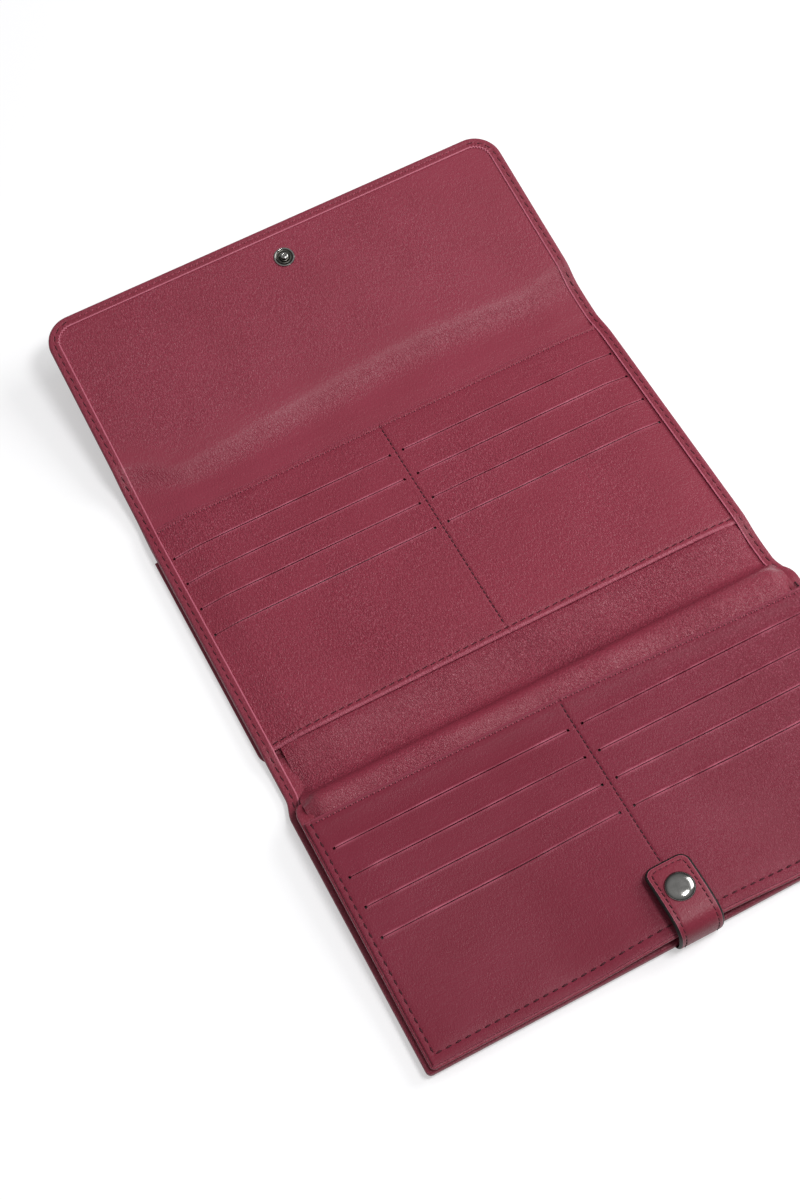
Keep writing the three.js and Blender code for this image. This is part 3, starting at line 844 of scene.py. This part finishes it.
def slot_panel(
    name, section, half, edge_rows, slits, level, finish, worked, lip_highlight_reach=1.3, seams=(), drawn=None
):
    """A section's slotted panel. edge_rows are (y, height, side) for its shaped edges.

    level(x, y) is its face, worked(x, y) says how crumpled it is, and drawn(x, y) how far it is
    pulled along Y.
    """
    hole = (-HOLE, -SLIT_OPEN, SLIT_OPEN, HOLE)
    ends = [side * (end + off) for side in (-1, 1) for end in SLITS for off in hole]
    columns = merge_places(sorted([*ends, *SEAM_COLUMNS, *seams, -half, half]), -half, half, 2.4)
    slit_rows = [y + lip for y in slits for lip in LIPS]
    lip_edge, last = min(row[0] for row in edge_rows), edge_rows[-1][0]
    low_rows = [row[:2] for row in edge_rows if row[2] < 0]
    high_rows = [row[:2] for row in edge_rows if row[2] > 0]
    first_y, last_y = low_rows[-1][0], high_rows[0][0]
    free = merge_places(slit_rows, first_y, last_y, 2.2)
    rows = low_rows + [(y, 0.0) for y in free if first_y + 0.3 < y < last_y - 0.3] + high_rows

    bm, wear_and_highlight, crumpled = leather_grid(columns, rows)
    place = {}
    for index, vert in enumerate(bm.verts):
        row, column = divmod(index, len(columns))
        x, (y, height) = columns[column], rows[row]
        place[index] = (x, y)
        vert[crumpled] = worked(x, y)
        near = min(slits, key=lambda s: abs(s - y))
        lip = next((d for d in LIP_RISE if abs(abs(y - near) - d) < TOUCH), None)
        within = ease(abs(x), SLITS[0] - 0.8, SLITS[0] + 1.5)
        within *= 1 - ease(abs(x), SLITS[1] - 1.5, SLITS[1] + 0.8)
        gape = math.sin(math.pi * min(1.0, max(0.0, (abs(x) - SLITS[0]) / (SLITS[1] - SLITS[0]))))
        upper = y > near
        rise = LIP_RISE.get(lip, 0.0) * within * (0.6 + gape * (0.8 if upper else 0.1))
        uneven = 0.65 + soft(x, near, 7, 0.9)
        # The upper lip is paler than the lower: painted highlight, as it faces the light.
        vert[wear_and_highlight] = max(0.0, LIP_WEAR_AND_HIGHLIGHT.get(lip, 0.0) * within * uneven * (1.0 if upper else 0.7))
        if lip == SLIT_OPEN:
            y += (0.06 if upper else -0.06) * gape
        for end in SLITS:
            across, along = abs(x) - end, y - near
            if abs(across) < HOLE + TOUCH and abs(along) < HOLE + TOUCH:
                if max(abs(across), abs(along)) > HOLE - TOUCH:
                    scale = HOLE / math.hypot(across, along)
                    x = math.copysign(end + across * scale, x)
                    y = near + along * scale
        height += rise + SEAM_COLUMNS.get(columns[column], 0.0)
        # Painted highlight along the rolled lip and the turned top edge, where they catch the light.
        if y < lip_edge + lip_highlight_reach or y > last - 0.6:
            vert[wear_and_highlight] = 0.4
        pulled = drawn(x, y) if drawn else 0.0
        vert.co = Vector((x, y + pulled, level(x, y) + height)) * MM
    gone = []
    for face in bm.faces:
        corners = [place[v.index] for v in face.verts]
        x = sum(abs(c[0]) for c in corners) / 4
        y = sum(c[1] for c in corners) / 4
        near = min(abs(y - s) for s in slits)
        in_hole = any(abs(x - end) < HOLE for end in SLITS) and near < HOLE
        if in_hole or (SLITS[0] < x < SLITS[1] and near < SLIT_OPEN):
            gone.append(face)
    bmesh.ops.delete(bm, geom=gone, context="FACES")
    thicken(bm, PANEL_SKIN)
    # Its rim takes the dark slit finish: painted shade.
    lay_piece(name, bm, [finish, SLIT_SHADE], section, (section + "_slot_panel",))


low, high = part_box("back_slot_panel")
BACK_LIP, BACK_TOP = low.y / MM, high.y / MM
PANEL_FACE = high.z / MM


def back_level(x, y):
    """The back panel's face, with slow waves."""
    return PANEL_FACE + back_drop(x, y) + soft(x, y, 30, 0.16)


LIP_SEAM = 2.7
TOP_SEAM = 2.3
GROOVE = ((-0.8, 0.05), (-0.35, -0.07), (0, -0.17), (0.35, -0.07), (0.8, 0.05))
LIP_ROLL = (
    (3.2, -1.05), (1.0, -1.05), (0.3, -0.925), (0, -0.6),
    (0.1, -0.25), (0.5, -0.06), (1.1, 0.06), (1.5, 0.07),
)
TOP_TURN = ((0.9, 0.08), (0.3, 0.0), (0, -0.3), (0.05, -0.75))
BACK_EDGES = [(BACK_LIP + inset, height, -1) for inset, height in LIP_ROLL]
BACK_EDGES += [(BACK_LIP + LIP_SEAM + off, height, -1) for off, height in GROOVE]
BACK_EDGES += [(BACK_TOP - TOP_SEAM + off, height, 1) for off, height in GROOVE]
BACK_EDGES += [(BACK_TOP - inset, height, 1) for inset, height in TOP_TURN]


def back_worked(x, y):
    """How crumpled the back panel is, more so on its left."""
    return 0.4 - 0.0022 * x + soft(x, y, 40, 0.4)


BACK_PANEL_HALF = 103.6
slot_panel(
    "back_slot_leather", "back", BACK_PANEL_HALF, BACK_EDGES, BACK_ROWS, back_level, PANEL, back_worked
)


def straight_seam(level, points, height):
    """A seam line across a panel through (x, y) points."""
    line = []
    for (x0, y0), (x1, y1) in zip(points, points[1:]):
        for f in even(0, 1, 0.02):
            x, y = x0 + (x1 - x0) * f, y0 + (y1 - y0) * f
            line.append((Vector((x, y, level(x, y) + height)) * MM, Vector((0, 0, 1))))
    return line


# Pale thread: the tone of the panels' top seams, and a painted highlight on the flap's top seam.
PALE_AND_LIT_THREAD = plain_finish("pale_and_lit_thread", (0.30, 0.055, 0.085), (0.38, 0.08, 0.12), 0.25, 0.55, 0.6)
SEAM_THREAD = plain_finish("seam_thread", (0.035, 0.009, 0.015), (0.06, 0.014, 0.022), 0.25, 0.65, 0.5)
PANEL_SEAM_DEPTH = -0.12
PANEL_SEAM_HALF = 100.2
for name, y, pitch, finish in (
    ("back_panel_stitches", BACK_LIP + LIP_SEAM, 3.5, THREAD),
    ("back_top_stitches", BACK_TOP - TOP_SEAM, 2.3, PALE_AND_LIT_THREAD),
):
    line = straight_seam(back_level, [(-PANEL_SEAM_HALF, y), (PANEL_SEAM_HALF, y)], PANEL_SEAM_DEPTH)
    sew(name, [line], "back", pitch=pitch, finish=finish)


def centre_seam(name, body, level, low, high):
    """The deep seam between the two columns of slits of a panel."""
    line = straight_seam(level, [(0, low), (0, high)], -0.24)
    sew(name, [line], body, pitch=2.4, thread=0.75, lean=0.2, finish=SEAM_THREAD)


centre_seam("back_centre_stitches", "back", back_level, BACK_LIP + 5, BACK_TOP - 1.0)

# Flap and flap band.
# The outer leather runs on over the band to the flap, with a board in the flap, and is turned
# over as a hem all round, gathered in small pleats at the rounded corners. The lining is a
# single skin that lies a little below the hem and steps up over the fold.
flap_bend = bend_across("flap_band", "flap", "flap_fold", -6, 6)
FLAP_CORNER = 12.0
bm = cut_leather(
    upper_at, MID_BAND, FLAP_END, upper_half, turned_edge(FLAP_CORNER), cornered=True, pleat=0.16
)
sheet_piece(
    "flap_hide", bm, HIDE, COVER, ("flap_cover", "flap_band_cover"),
    bend=flap_bend, over=True,
)
seam, = round_seam(upper_at, MID_BAND, FLAP_END, upper_half, FLAP_CORNER, HEM_SEAM, SEAM_DEPTH)
STRAIGHT_TOP = (FLAP_HALF - FLAP_CORNER) * MM
side_lines = [[spot for spot in seam if spot[0].x * side > STRAIGHT_TOP] for side in (-1, 1)]
sew("flap_stitches", side_lines, None, flap_bend)
top_line = [spot for spot in seam if abs(spot[0].x) <= STRAIGHT_TOP]
# The flap's top seam is the same thread as its sides, in the pale finish as a painted highlight, as its top
# catches the light.
sew("flap_top_stitches", [top_line], "flap", pitch=2.8, lean=0.45, shown=0.6, finish=PALE_AND_LIT_THREAD)
OUTER_SEAM_RISE = 0.02
outer_seam = round_seam(
    upper_at, MID_BAND, FLAP_END, upper_half, FLAP_CORNER, HEM_SEAM, OUTER_SEAM_RISE, -1
)
sew("flap_outer_stitches", outer_seam, None, flap_bend)
skin_rings = flat_edge(FLAP_CORNER - LINING_INSET, LINING_SINK)
upper_lining("flap_skin", MID_BAND, FLAP_END - LINING_INSET, skin_rings, "flap_lining", flap_bend, True)
BOARD_HALF = 100.0
board_rings = flat_edge(8.0, -1.6)
bm = cut_leather(
    upper_at, FLAP_FROM + 6, FLAP_END - 2.6, BOARD_HALF, board_rings, cornered=True, step=(6, 4)
)
thicken(bm, 0.1, 0)
lay_piece("flap_board", bm, [BOARD], "flap", ("flap_stiffener",))

# Spine.
# The outer leather dips between its two creases. Inside it are a lining and the hinge leather,
# which comes out from under the slot panel's lip, dips, and rises to the leaf's padded head.
low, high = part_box("spine_lining")
lining_at, lining_marks = lay([(high.y / MM, 3.1, 0.6), (low.y / MM, 3.1, 0.6)], -1)
rings = flat_edge(STRIP_EDGE, 0)
bm = cut_leather(lining_at, 0, lining_marks[-1], high.x / MM, rings, step=(5, 3))
sheet_piece("spine_skin", bm, 0.55, LINING, ("spine_lining",), "spine", over=True)

hinge_at, hinge_marks = lay(
    [(SPINE_Y + v, z, 0.8) for v, z in (
        (10, 5.2), (6, 5.5), (2.8, 5.9), (-0.5, 6.0), (-4, 5.15), (-7.5, 4.4), (-11, 4.05), (-14, 4.0),
        (-16.5, 4.3), (-19, 5.7), (-20.8, 8.2), (-22.2, 11.2), (-23.6, 13.9), (-25.6, 15.75),
        (-28, 16.35), (-30.2, 15.95), (-32.2, 15.2), (-34, 14.45), (-36.5, 13.85), (-42, 13.2),
    )],
    -1,
)
HINGE_MID = hinge_marks[5]
HEAD_FROM = hinge_marks[10]
HINGE_END = hinge_marks[-1]


def hinge_half(t):
    """The hinge leather's half width, a little wider over the leaf's head."""
    return 100.0 + 1.4 * ease(t, HEAD_FROM - 2, HEAD_FROM + 4)


def hinge_lift(x, t):
    """The hinge leather's way down at its sides, under the leaf's border and beside the hems."""
    under_border = -3.2 * ease(abs(x), 95, 102) * ease(t, HEAD_FROM, HEAD_FROM + 6)
    under_border *= 1 - 0.8 * ease(t, HINGE_END - 8, HINGE_END - 4)
    beside_hem = -1.2 * ease(abs(x), 95, 100) * (1 - ease(t, HEAD_FROM - 6, HEAD_FROM - 2))
    return under_border + beside_hem + soft(x, t, 26, 0.22) + soft(x + 9, t, 9, 0.06)


def hinge_crumple(x, t):
    """Worked soft along the strip, smooth up the head and a little crumpled over it."""
    smooth = ease(t, HEAD_FROM - 4, HEAD_FROM) * (1 - ease(t, HEAD_FROM + 8, HEAD_FROM + 11))
    return 0.55 + soft(x, t, 30, 0.3) - 0.5 * smooth - 0.2 * ease(t, HEAD_FROM + 8, HEAD_FROM + 12)


def head_drawn(x):
    """How far the seam below the head runs down towards the right, where the head is wider."""
    return -4.2 * max(0.0, x / 104) ** 1.15


HINGE = leather("hinge_leather", (0.230, 0.0268, 0.0487), (0.250, 0.032, 0.0565), 0.30, 0.95, 0.95, 0.32)


def hinge_piece(name, start, end, step, nodes, bend):
    """A length of the hinge leather, trimmed by the left hem and with its head wider at the right."""
    bm = cut_leather(
        hinge_at, start, end, hinge_half, flat_edge(STRIP_EDGE, 0),
        step=(2.4, step), lift=hinge_lift, crumple=hinge_crumple,
    )
    for vert in bm.verts:
        x, along = vert.co.x / MM, SPINE_Y - vert.co.y / MM
        vert.co.x += 2.4 * ease(-x, 60, 100) * (1 - ease(along, 15, 20)) * MM
        vert.co.y += head_drawn(x) * ease(along, 24, 33.5) * MM
    return sheet_piece(name, bm, PANEL_SKIN, HINGE, nodes, bend=bend, over=True)


hinge_bend = bend_across("back", "spine", "spine_fold", 3, -6)
leaf_bend = bend_across("spine", "leaf", "leaf_turn", 4, -3)
hinge_piece("hinge_upper", 0, HINGE_MID, 1.0, ("hinge_strip",), hinge_bend)
head_nodes = ("leaf_head_band", "hinge_strip")
head = hinge_piece("leaf_head_roll", HINGE_MID, HINGE_END, 0.9, head_nodes, leaf_bend)

# Front section.
# The outer leather ends here in a hem round three sides, over a board and a lining. It is the
# front cover of the closed wallet and the floor of the document compartment.
front_bend = bend_across("spine", "front", "front_fold", 4, -4)
FRONT_CORNER = 2.0
bm = cut_leather(
    lower_at, MID_SPINE, FRONT_END, lower_half, turned_edge(FRONT_CORNER), cornered=True, pleat=0.06
)
sheet_piece(
    "front_hide", bm, HIDE, COVER, ("front_cover", "spine_cover"), bend=front_bend
)
for name, level, sign in (
    ("front_stitches", SEAM_DEPTH, 1),
    ("front_outer_stitches", OUTER_SEAM_RISE, -1),
):
    seam = round_seam(lower_at, MID_SPINE, FRONT_END, lower_half, FRONT_CORNER, HEM_SEAM, level, sign)
    sew(name, seam, None, front_bend)
board("front_board", "front_stiffener", "front")
bm = cut_leather(
    lower_at, lower_marks[10] + 1, FRONT_END - LINING_INSET, FRONT_HALF - LINING_INSET,
    flat_edge(3.3, LOWER_SINK), cornered=True, step=(4, 3),
)
sheet_piece("front_skin", bm, 0.4, LINING, ("front_lining",), "front", over=True)

# Leaf.
# A page over the document compartment: its back leather is turned up round the edges, and a
# slot panel lies on it out to its edge and is sewn down, with cloth bags behind the slits. Its
# free corners hang a little lower than the middle, which the tab holds.
# The leaf's panel leather is a darker copy of the panel leather: painted shade, as the leaf takes less light
# than the back and flap.
SHADED_PAGE = leather("shaded_page_leather", (0.172, 0.0162, 0.0335), (0.187, 0.0205, 0.0405), 0.36, 0.9, 0.55, 0.18)
LEAF_ROWS = [FRONT_Y - u for u in (64.1, 51.6, 39.1, 26.6)]
LEAF_HALF = 105.25
LEAF_LENGTH = 113.55
LEAF_CORNER = 1.8
LEAF_SIDE_SEAM = 3.2
LEAF_END_SEAM = 4.5
LEAF_TOP_SEAM = 1.7
LEAF_SAG = 4.9
PAGE_THICK = ((3.6, 2.7), (40, 2.7), (80, 2.4), (LEAF_LENGTH, 1.6))
leaf_at, leaf_marks = lay([(FRONT_Y - u, 13.3, thickness) for u, thickness in PAGE_THICK], -1)
LEAF_END = leaf_marks[-1]


def leaf_sag(x, y):
    """How far the leaf hangs down, most at its free corners."""
    return -LEAF_SAG * ease(FRONT_Y - y, 20, 116) * ease(abs(x), 2, 52)


def page_lift(x, t):
    """The page's sag, and its way down under the head."""
    return leaf_sag(x, leaf_at(t)[0]) - 2.5 * (1 - ease(t, 0, 8))


def page_half(t):
    """The page's half width, rounded in at its head."""
    return LEAF_HALF - 3.0 * (1 - math.sqrt(1 - (1 - min(1.0, t / 6)) ** 2))


page_rings = turned_edge(LEAF_CORNER, 5.5, 3.6, 0.7, 0)
bm = cut_leather(leaf_at, 0, LEAF_END, page_half, page_rings, cornered=True, lift=page_lift)
sheet_piece("leaf_page", bm, PANEL_SKIN, COVER, ("leaf_back",), "leaf")


def leaf_drop(x, y):
    """How far the leaf's panel and bags go down, by its sag and towards its edges."""
    down = ease(FRONT_Y - y, 104.0, 109.8)
    return -0.2 * max(ease(abs(x), 90, 101.5), down) + leaf_sag(x, y)


card_bags("leaf", leaf_drop)
low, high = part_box("leaf_slot_panel")
LEAF_FACE = high.z / MM
LEAF_TOP = FRONT_Y - 13.0
TOP_Y = LEAF_TOP - LEAF_TOP_SEAM
LEAF_PANEL_HALF = high.x / MM
LEAF_PANEL_END = FRONT_Y - 112.6
SEAM_X = LEAF_HALF - LEAF_SIDE_SEAM
SEAM_Y = FRONT_Y - LEAF_LENGTH + LEAF_END_SEAM
RIM = ((0, -0.42), (0.12, -0.18), (0.35, -0.05), (0.7, 0.0))
DIP = (-0.7, -0.3, 0, 0.3, 0.7)


def leaf_level(x, y):
    """The leaf panel's face, sunk a little along its seam and turned down at its edge."""
    beside, above = abs(x) - SEAM_X, y - SEAM_Y
    near = min(abs(beside) if above > -0.4 else 9.0, abs(above) if beside < 0.4 else 9.0)
    sunk = -0.18 * math.exp(-(near / 0.35) ** 2)
    inset = LEAF_PANEL_HALF - abs(x)
    turned = next((drop for far, drop in RIM if inset < far + 0.05), 0.0)
    head = 0.9 * (1 - ease(FRONT_Y - y, 13, 22))
    return LEAF_FACE + leaf_drop(x, y) + soft(x, y + 300, 30, 0.16) + head + sunk + turned


LEAF_TOP_TURN = ((0.3, 0.02), (0, -0.25), (0.05, -0.6))
LEAF_EDGES = [(LEAF_PANEL_END + inset, height, -1) for inset, height in RIM]
LEAF_EDGES += [(SEAM_Y + off, 0.0, -1) for off in DIP]
LEAF_EDGES += [(TOP_Y + off, height, 1) for off, height in GROOVE]
LEAF_EDGES += [(LEAF_TOP - inset, height, 1) for inset, height in LEAF_TOP_TURN]
leaf_columns = [side * (LEAF_PANEL_HALF - inset) for side in (-1, 1) for inset, _ in RIM[1:]]
leaf_columns += [side * (SEAM_X + off) for side in (-1, 1) for off in DIP]


def leaf_worked(x, y):
    """How crumpled the leaf's panel is, more so on its right, where it also carries more painted glint
    specks as highlight.
    """
    return max(0.05, 0.2 + 0.004 * x + soft(x, y, 40, 0.15))


def leaf_drawn(x, y):
    """How far the panel's upper edge follows the head, and less down to the first slit."""
    return head_drawn(x) * ease(y, LEAF_ROWS[-1] + 2, TOP_Y - 1)


slot_panel(
    "leaf_slot_leather", "leaf", LEAF_PANEL_HALF, LEAF_EDGES, LEAF_ROWS, leaf_level, SHADED_PAGE, leaf_worked,
    0.2, leaf_columns, leaf_drawn,
)
border = [(-SEAM_X, LEAF_TOP - 0.6), (-SEAM_X, SEAM_Y), (SEAM_X, SEAM_Y), (SEAM_X, LEAF_TOP - 0.6)]
border_lines = [straight_seam(leaf_level, pair, 0.0) for pair in zip(border, border[1:])]
sew("leaf_border_stitches", border_lines, "leaf", pitch=3.8, thread=0.95, shown=0.42)
top_places = [(x, TOP_Y + head_drawn(x)) for x in even(-100.6, 100.6, 12)]
top_line = straight_seam(lambda x, y: leaf_level(x, TOP_Y), top_places, PANEL_SEAM_DEPTH)
sew("leaf_top_stitches", [top_line], "leaf", pitch=2.3, finish=PALE_AND_LIT_THREAD)
centre_seam("leaf_centre_stitches", "leaf", leaf_level, FRONT_Y - 108.6, LEAF_TOP - 2.6)

# Snap fasteners.
# Two press fasteners of gunmetal-plated brass. Each has a domed cap and a socket on one side
# and a stud on the other, set through the leather and riveted.
GUNMETAL = plain_finish("gunmetal", (0.24, 0.236, 0.226), (0.29, 0.285, 0.275), 3.0, 0.15, 0.0, 1.0, 0.03)
# A darker metal for the stud's bowl: painted shade in its hollow.
BOWL_SHADE = plain_finish(
    "shaded_bowl_metal", (0.05, 0.048, 0.042), (0.08, 0.077, 0.068), 1.5, 0.3, 0.0, 1.0, 0.05
)
UP = Vector((0, 0, 1))
SHARP = 0.6


def spun(name, profile, at_point, normal, body, node):
    """A metal piece spun from its (radius, height) profile about the normal at a point."""
    bm = bmesh.new()
    verts = [bm.verts.new((r * MM, 0, h * MM)) for r, h in profile]
    edges = [bm.edges.new(pair) for pair in zip(verts, verts[1:])]
    bmesh.ops.spin(
        bm, geom=verts + edges, axis=UP, cent=(0, 0, 0), steps=48, angle=2 * math.pi, use_merge=True
    )
    bmesh.ops.remove_doubles(bm, verts=bm.verts[:], dist=0.005 * MM)
    bmesh.ops.recalc_face_normals(bm, faces=bm.faces[:])
    for face in bm.faces:
        middle = face.calc_center_median() / MM
        # The stud's bowl takes the dark metal: painted shade in the hollow under its rim.
        face.material_index = int(profile is STUD and middle.xy.length < 3.75 and middle.z < 1.0)
    turn = UP.rotation_difference(normal).to_matrix().to_4x4()
    bmesh.ops.transform(bm, matrix=Matrix.Translation(at_point * MM) @ turn, verts=bm.verts[:])
    for edge in bm.edges:
        if len(edge.link_faces) == 2 and edge.calc_face_angle(0) > SHARP:
            edge.smooth = False
    lay_piece(name, bm, [GUNMETAL, BOWL_SHADE], body, (node,))


def dome(radius, rise, rim):
    """A cap: a shank, a turned-under rim and a shallow dome with a round shoulder."""
    profile = [(0, -1.2), (1.3, -1.2), (1.3, 0), (radius - 0.6, 0), (radius - 0.2, 0.04), (radius, rim)]
    for f in [0.995, 0.98, 0.96, *even(0.93, 0, 0.08)]:
        profile.append((radius * f, rim + (rise - rim) * math.sqrt(1 - f ** 3)))
    return profile


STUD = [
    (0, -1.1), (1.3, -1.1), (1.3, 0), (4.2, 0), (4.4, 0.15), (4.4, 0.4), (4.28, 0.62), (4.0, 0.7),
    (3.7, 0.62), (3.45, 0.38), (3.2, 0.22), (2.9, 0.2), (2.65, 0.3), (2.45, 0.34), (2.2, 0.24), (1.7, 0.1),
    (1.45, 0.2), (1.38, 0.7), (1.45, 1.1), (1.62, 1.4), (1.66, 1.65), (1.55, 1.9), (1.25, 2.08),
    (0.85, 2.1), (0.6, 1.95), (0.45, 1.6), (0, 1.55),
]
SOCKET = [
    (0, 0.15), (1.9, 0.15), (1.98, 0.8), (1.8, 1.1), (1.84, 1.3), (2.1, 1.42), (2.6, 1.36), (3.4, 1.4),
    (3.9, 1.25), (4.3, 0.8), (4.4, 0.4), (4.35, 0.12), (4.1, 0), (0, 0),
]
CAP = 5.6
FLAP_SNAP = 56.8
flap_up = Vector((0, -math.sin(FLAP_TILT), math.cos(FLAP_TILT)))
flap_along = Vector((0, math.cos(FLAP_TILT), math.sin(FLAP_TILT)))
flap_snap = Vector((0, flap_y, flap_z)) + flap_along * FLAP_SNAP
spun("flap_stud", STUD, flap_snap - flap_up * 0.5, flap_up, "flap", "flap_snap_stud")
spun("flap_cap", dome(CAP, 1.8, 0.3), flap_snap - flap_up * 3.0, -flap_up, "flap", "flap_snap_cap")
low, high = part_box("front_snap_socket")
front_snap = Vector((0, (low.y + high.y) / 2 / MM, 2.1))
spun("front_socket", SOCKET, front_snap, -UP, "front", "front_snap_socket")
low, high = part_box("leaf_snap_stud")
leaf_snap = Vector((0, (low.y + high.y) / 2 / MM, 14.55))
spun("leaf_stud", STUD, leaf_snap, UP, "leaf", "leaf_snap_stud")
spun("tab_cap", dome(CAP, 2.1, 0.3), Vector((0, leaf_snap.y, 19.1)), UP, "tab", "tab_snap_cap")
spun("tab_socket", SOCKET, Vector((0, leaf_snap.y, 17.15)), -UP, "tab", "tab_snap_socket")

# Tab.
# A strap of two skins glued back to back, with its edges painted dark and a seam all round. It
# is sewn by its tail to the outside of the front and wraps the free edge to snap on the leaf.
EDGE_PAINT = plain_finish("edge_paint", (0.010, 0.008, 0.008), (0.020, 0.015, 0.015), 0.8, 0.5, 0.25)
tab_at, tab_marks = lay(
    [(FRONT_Y - u, z, 1.8) for u, z in (
        (85.55, 0.05), (96, 0.05), (106, 0.05), (110, 0.15), (113, 1.0), (115.2, 3.6), (116.1, 7.5),
        (116.2, 11.5), (115.4, 15.2), (112.6, 18.0), (108.5, 19.0), (104, 19.2), (100, 19.1), (94, 18.6),
        (88.55, 17.9),
    )],
    1,
)
TAB_END = tab_marks[-1]
TAB_HALF = 9.0
TAB_CORNER = 4.0
TAB_SEAM = 2.45
TAB_RINGS = [(inset, 1, height, wear_and_highlight) for inset, height, wear_and_highlight in (
    (TAB_CORNER, 0.0, 0), (3.2, 0.0, 0), (2.9, -0.05, 0), (TAB_SEAM, -0.2, 0), (2.0, -0.06, 0),
    (1.6, 0.0, 0), (1.2, -0.03, 0.0), (0.95, -0.06, 1.0), (0.6, -0.14, 1.0), (0.3, -0.3, 1.0),
    (0.1, -0.55, 1.0), (0, -0.85, 1.0),
)]


def tab_crown(x, t):
    """The strap's rounded face where it lies over the leaf."""
    return 0.35 * (1 - (min(abs(x), TAB_HALF) / TAB_HALF) ** 2) * ease(t, 30, 45)


bm = cut_leather(
    tab_at, 0, TAB_END, TAB_HALF, TAB_RINGS,
    cornered=True, step=(1.2, 1.0), lift=tab_crown, crumple=lambda x, t: 0.05,
)
for face in bm.faces:
    if all(vert[bm.verts.layers.float["wear_and_highlight"]] > 0.5 for vert in face.verts):
        face.material_index = 1
thicken(bm, 1.25)
tab_middle = fold["tab_close"].y
tab_bend = ("front", "tab", Vector((0, tab_middle, 2.5)), Vector((0, tab_middle, 15.5)))
tab_nodes = ("tab_bend", "tab_strap", "tab_lining", "tab_tail")
lay_piece("tab_strap_leather", bm, [COVER, EDGE_PAINT], None, tab_nodes, tab_bend)
tab_seam = round_seam(tab_at, 1.5, TAB_END, TAB_HALF, TAB_CORNER, TAB_SEAM, 0.05)
sew("tab_stitches", tab_seam, None, tab_bend, pitch=2.5)

# Studio.
# A white sweep under soft light, as the wallet was laid out to be photographed from above.
bm = bmesh.new()
bmesh.ops.create_grid(bm, x_segments=1, y_segments=1, size=4)
bmesh.ops.translate(bm, vec=(0, 0, cad_box[0].z - 0.2 * MM), verts=bm.verts[:])
floor = to_scene("floor", to_mesh("floor", bm))
paper = bpy.data.materials.new("white_paper")
place, sum_up, remap, _ = fresh_nodes(paper)
rays = place("ShaderNodeLightPath").outputs
seen = sum_up("MAXIMUM", rays["Is Glossy Ray"], rays["Is Transmission Ray"])
seen = sum_up("MAXIMUM", rays["Is Camera Ray"], seen)
where = place("ShaderNodeTexCoord").outputs["Object"]
reach = place("ShaderNodeVectorMath", {0: where}, operation="LENGTH").outputs["Value"]
show(place, {
    "Base Color": (0.62, 0.62, 0.63, 1),
    "Roughness": 0.9,
    "Specular IOR Level": 0.0,
    "Emission Color": (1, 1, 1, 1),
    "Emission Strength": sum_up("MULTIPLY", seen, remap(reach, 0.3, 1.3, 0.42, 1.0)),
})
floor.data.materials.append(paper)

world = bpy.data.worlds.new("studio")
place, sum_up, remap, _ = fresh_nodes(world)
rays = place("ShaderNodeLightPath").outputs
seen = sum_up("MAXIMUM", rays["Is Camera Ray"], rays["Is Transmission Ray"])
toward = place("ShaderNodeSeparateXYZ", {0: place("ShaderNodeTexCoord").outputs["Generated"]})
glow = sum_up("MAXIMUM", seen, remap(toward.outputs["Z"], 0.2, 1.0, 0.1, 0.55))
backdrop = place("ShaderNodeBackground", {"Color": (1, 1, 1, 1), "Strength": glow})
place("ShaderNodeOutputWorld", {"Surface": backdrop.outputs[0]})
bpy.context.scene.world = world


def soft_box(name, at_point, aim, size, power):
    """A rectangular lamp at a point, aimed at another."""
    lamp = bpy.data.lights.new(name, "AREA")
    lamp.shape = "RECTANGLE"
    lamp.size, lamp.size_y = size
    lamp.energy = power
    holder = to_scene(name, lamp)
    holder.location = at_point
    holder.rotation_euler = (Vector(aim) - Vector(at_point)).to_track_quat("-Z", "Y").to_euler()


soft_box("key", (0.25, -0.33, 1.0), (0, 0.03, 0), (0.32, 0.2), 6.0)
soft_box("side", (0.75, 0.0, 0.65), (0, 0, 0), (0.6, 0.5), 5.4)

# Camera.
# It stands where the photograph was taken from: high, to the front left, and rolled. Its place
# and its lens were fitted to the corners, slits and snaps that are seen there.
FOCUS, RISE, ROLLED, ROUND = 2088.22, 1.04736933, -0.1445896, 0.35021547
AWAY, AIM_X, AIM_Y = 0.812556, -0.028568, 0.001417
SENSOR = 36
PHOTO_TALL = 1200
ahead = Vector((math.sin(ROUND) * math.cos(RISE), math.cos(ROUND) * math.cos(RISE), -math.sin(RISE)))
right = Vector((math.cos(ROUND), -math.sin(ROUND), 0))
down = -Vector((math.sin(ROUND) * math.sin(RISE), math.cos(ROUND) * math.sin(RISE), math.cos(RISE)))
across = right * math.cos(ROLLED) - down * math.sin(ROLLED)
below = right * math.sin(ROLLED) + down * math.cos(ROLLED)
lens = bpy.data.cameras.new("camera")
lens.sensor_width = SENSOR
lens.lens = FOCUS * SENSOR / PHOTO_TALL
lens.clip_start = 0.01
camera = to_scene("camera", lens)
stand = Matrix((across, -below, -ahead)).transposed().to_4x4()
camera.matrix_world = Matrix.Translation(Vector((AIM_X, AIM_Y, 0)) - ahead * AWAY) @ stand
bpy.context.scene.camera = camera
bpy.context.scene.view_settings.view_transform = "Standard"
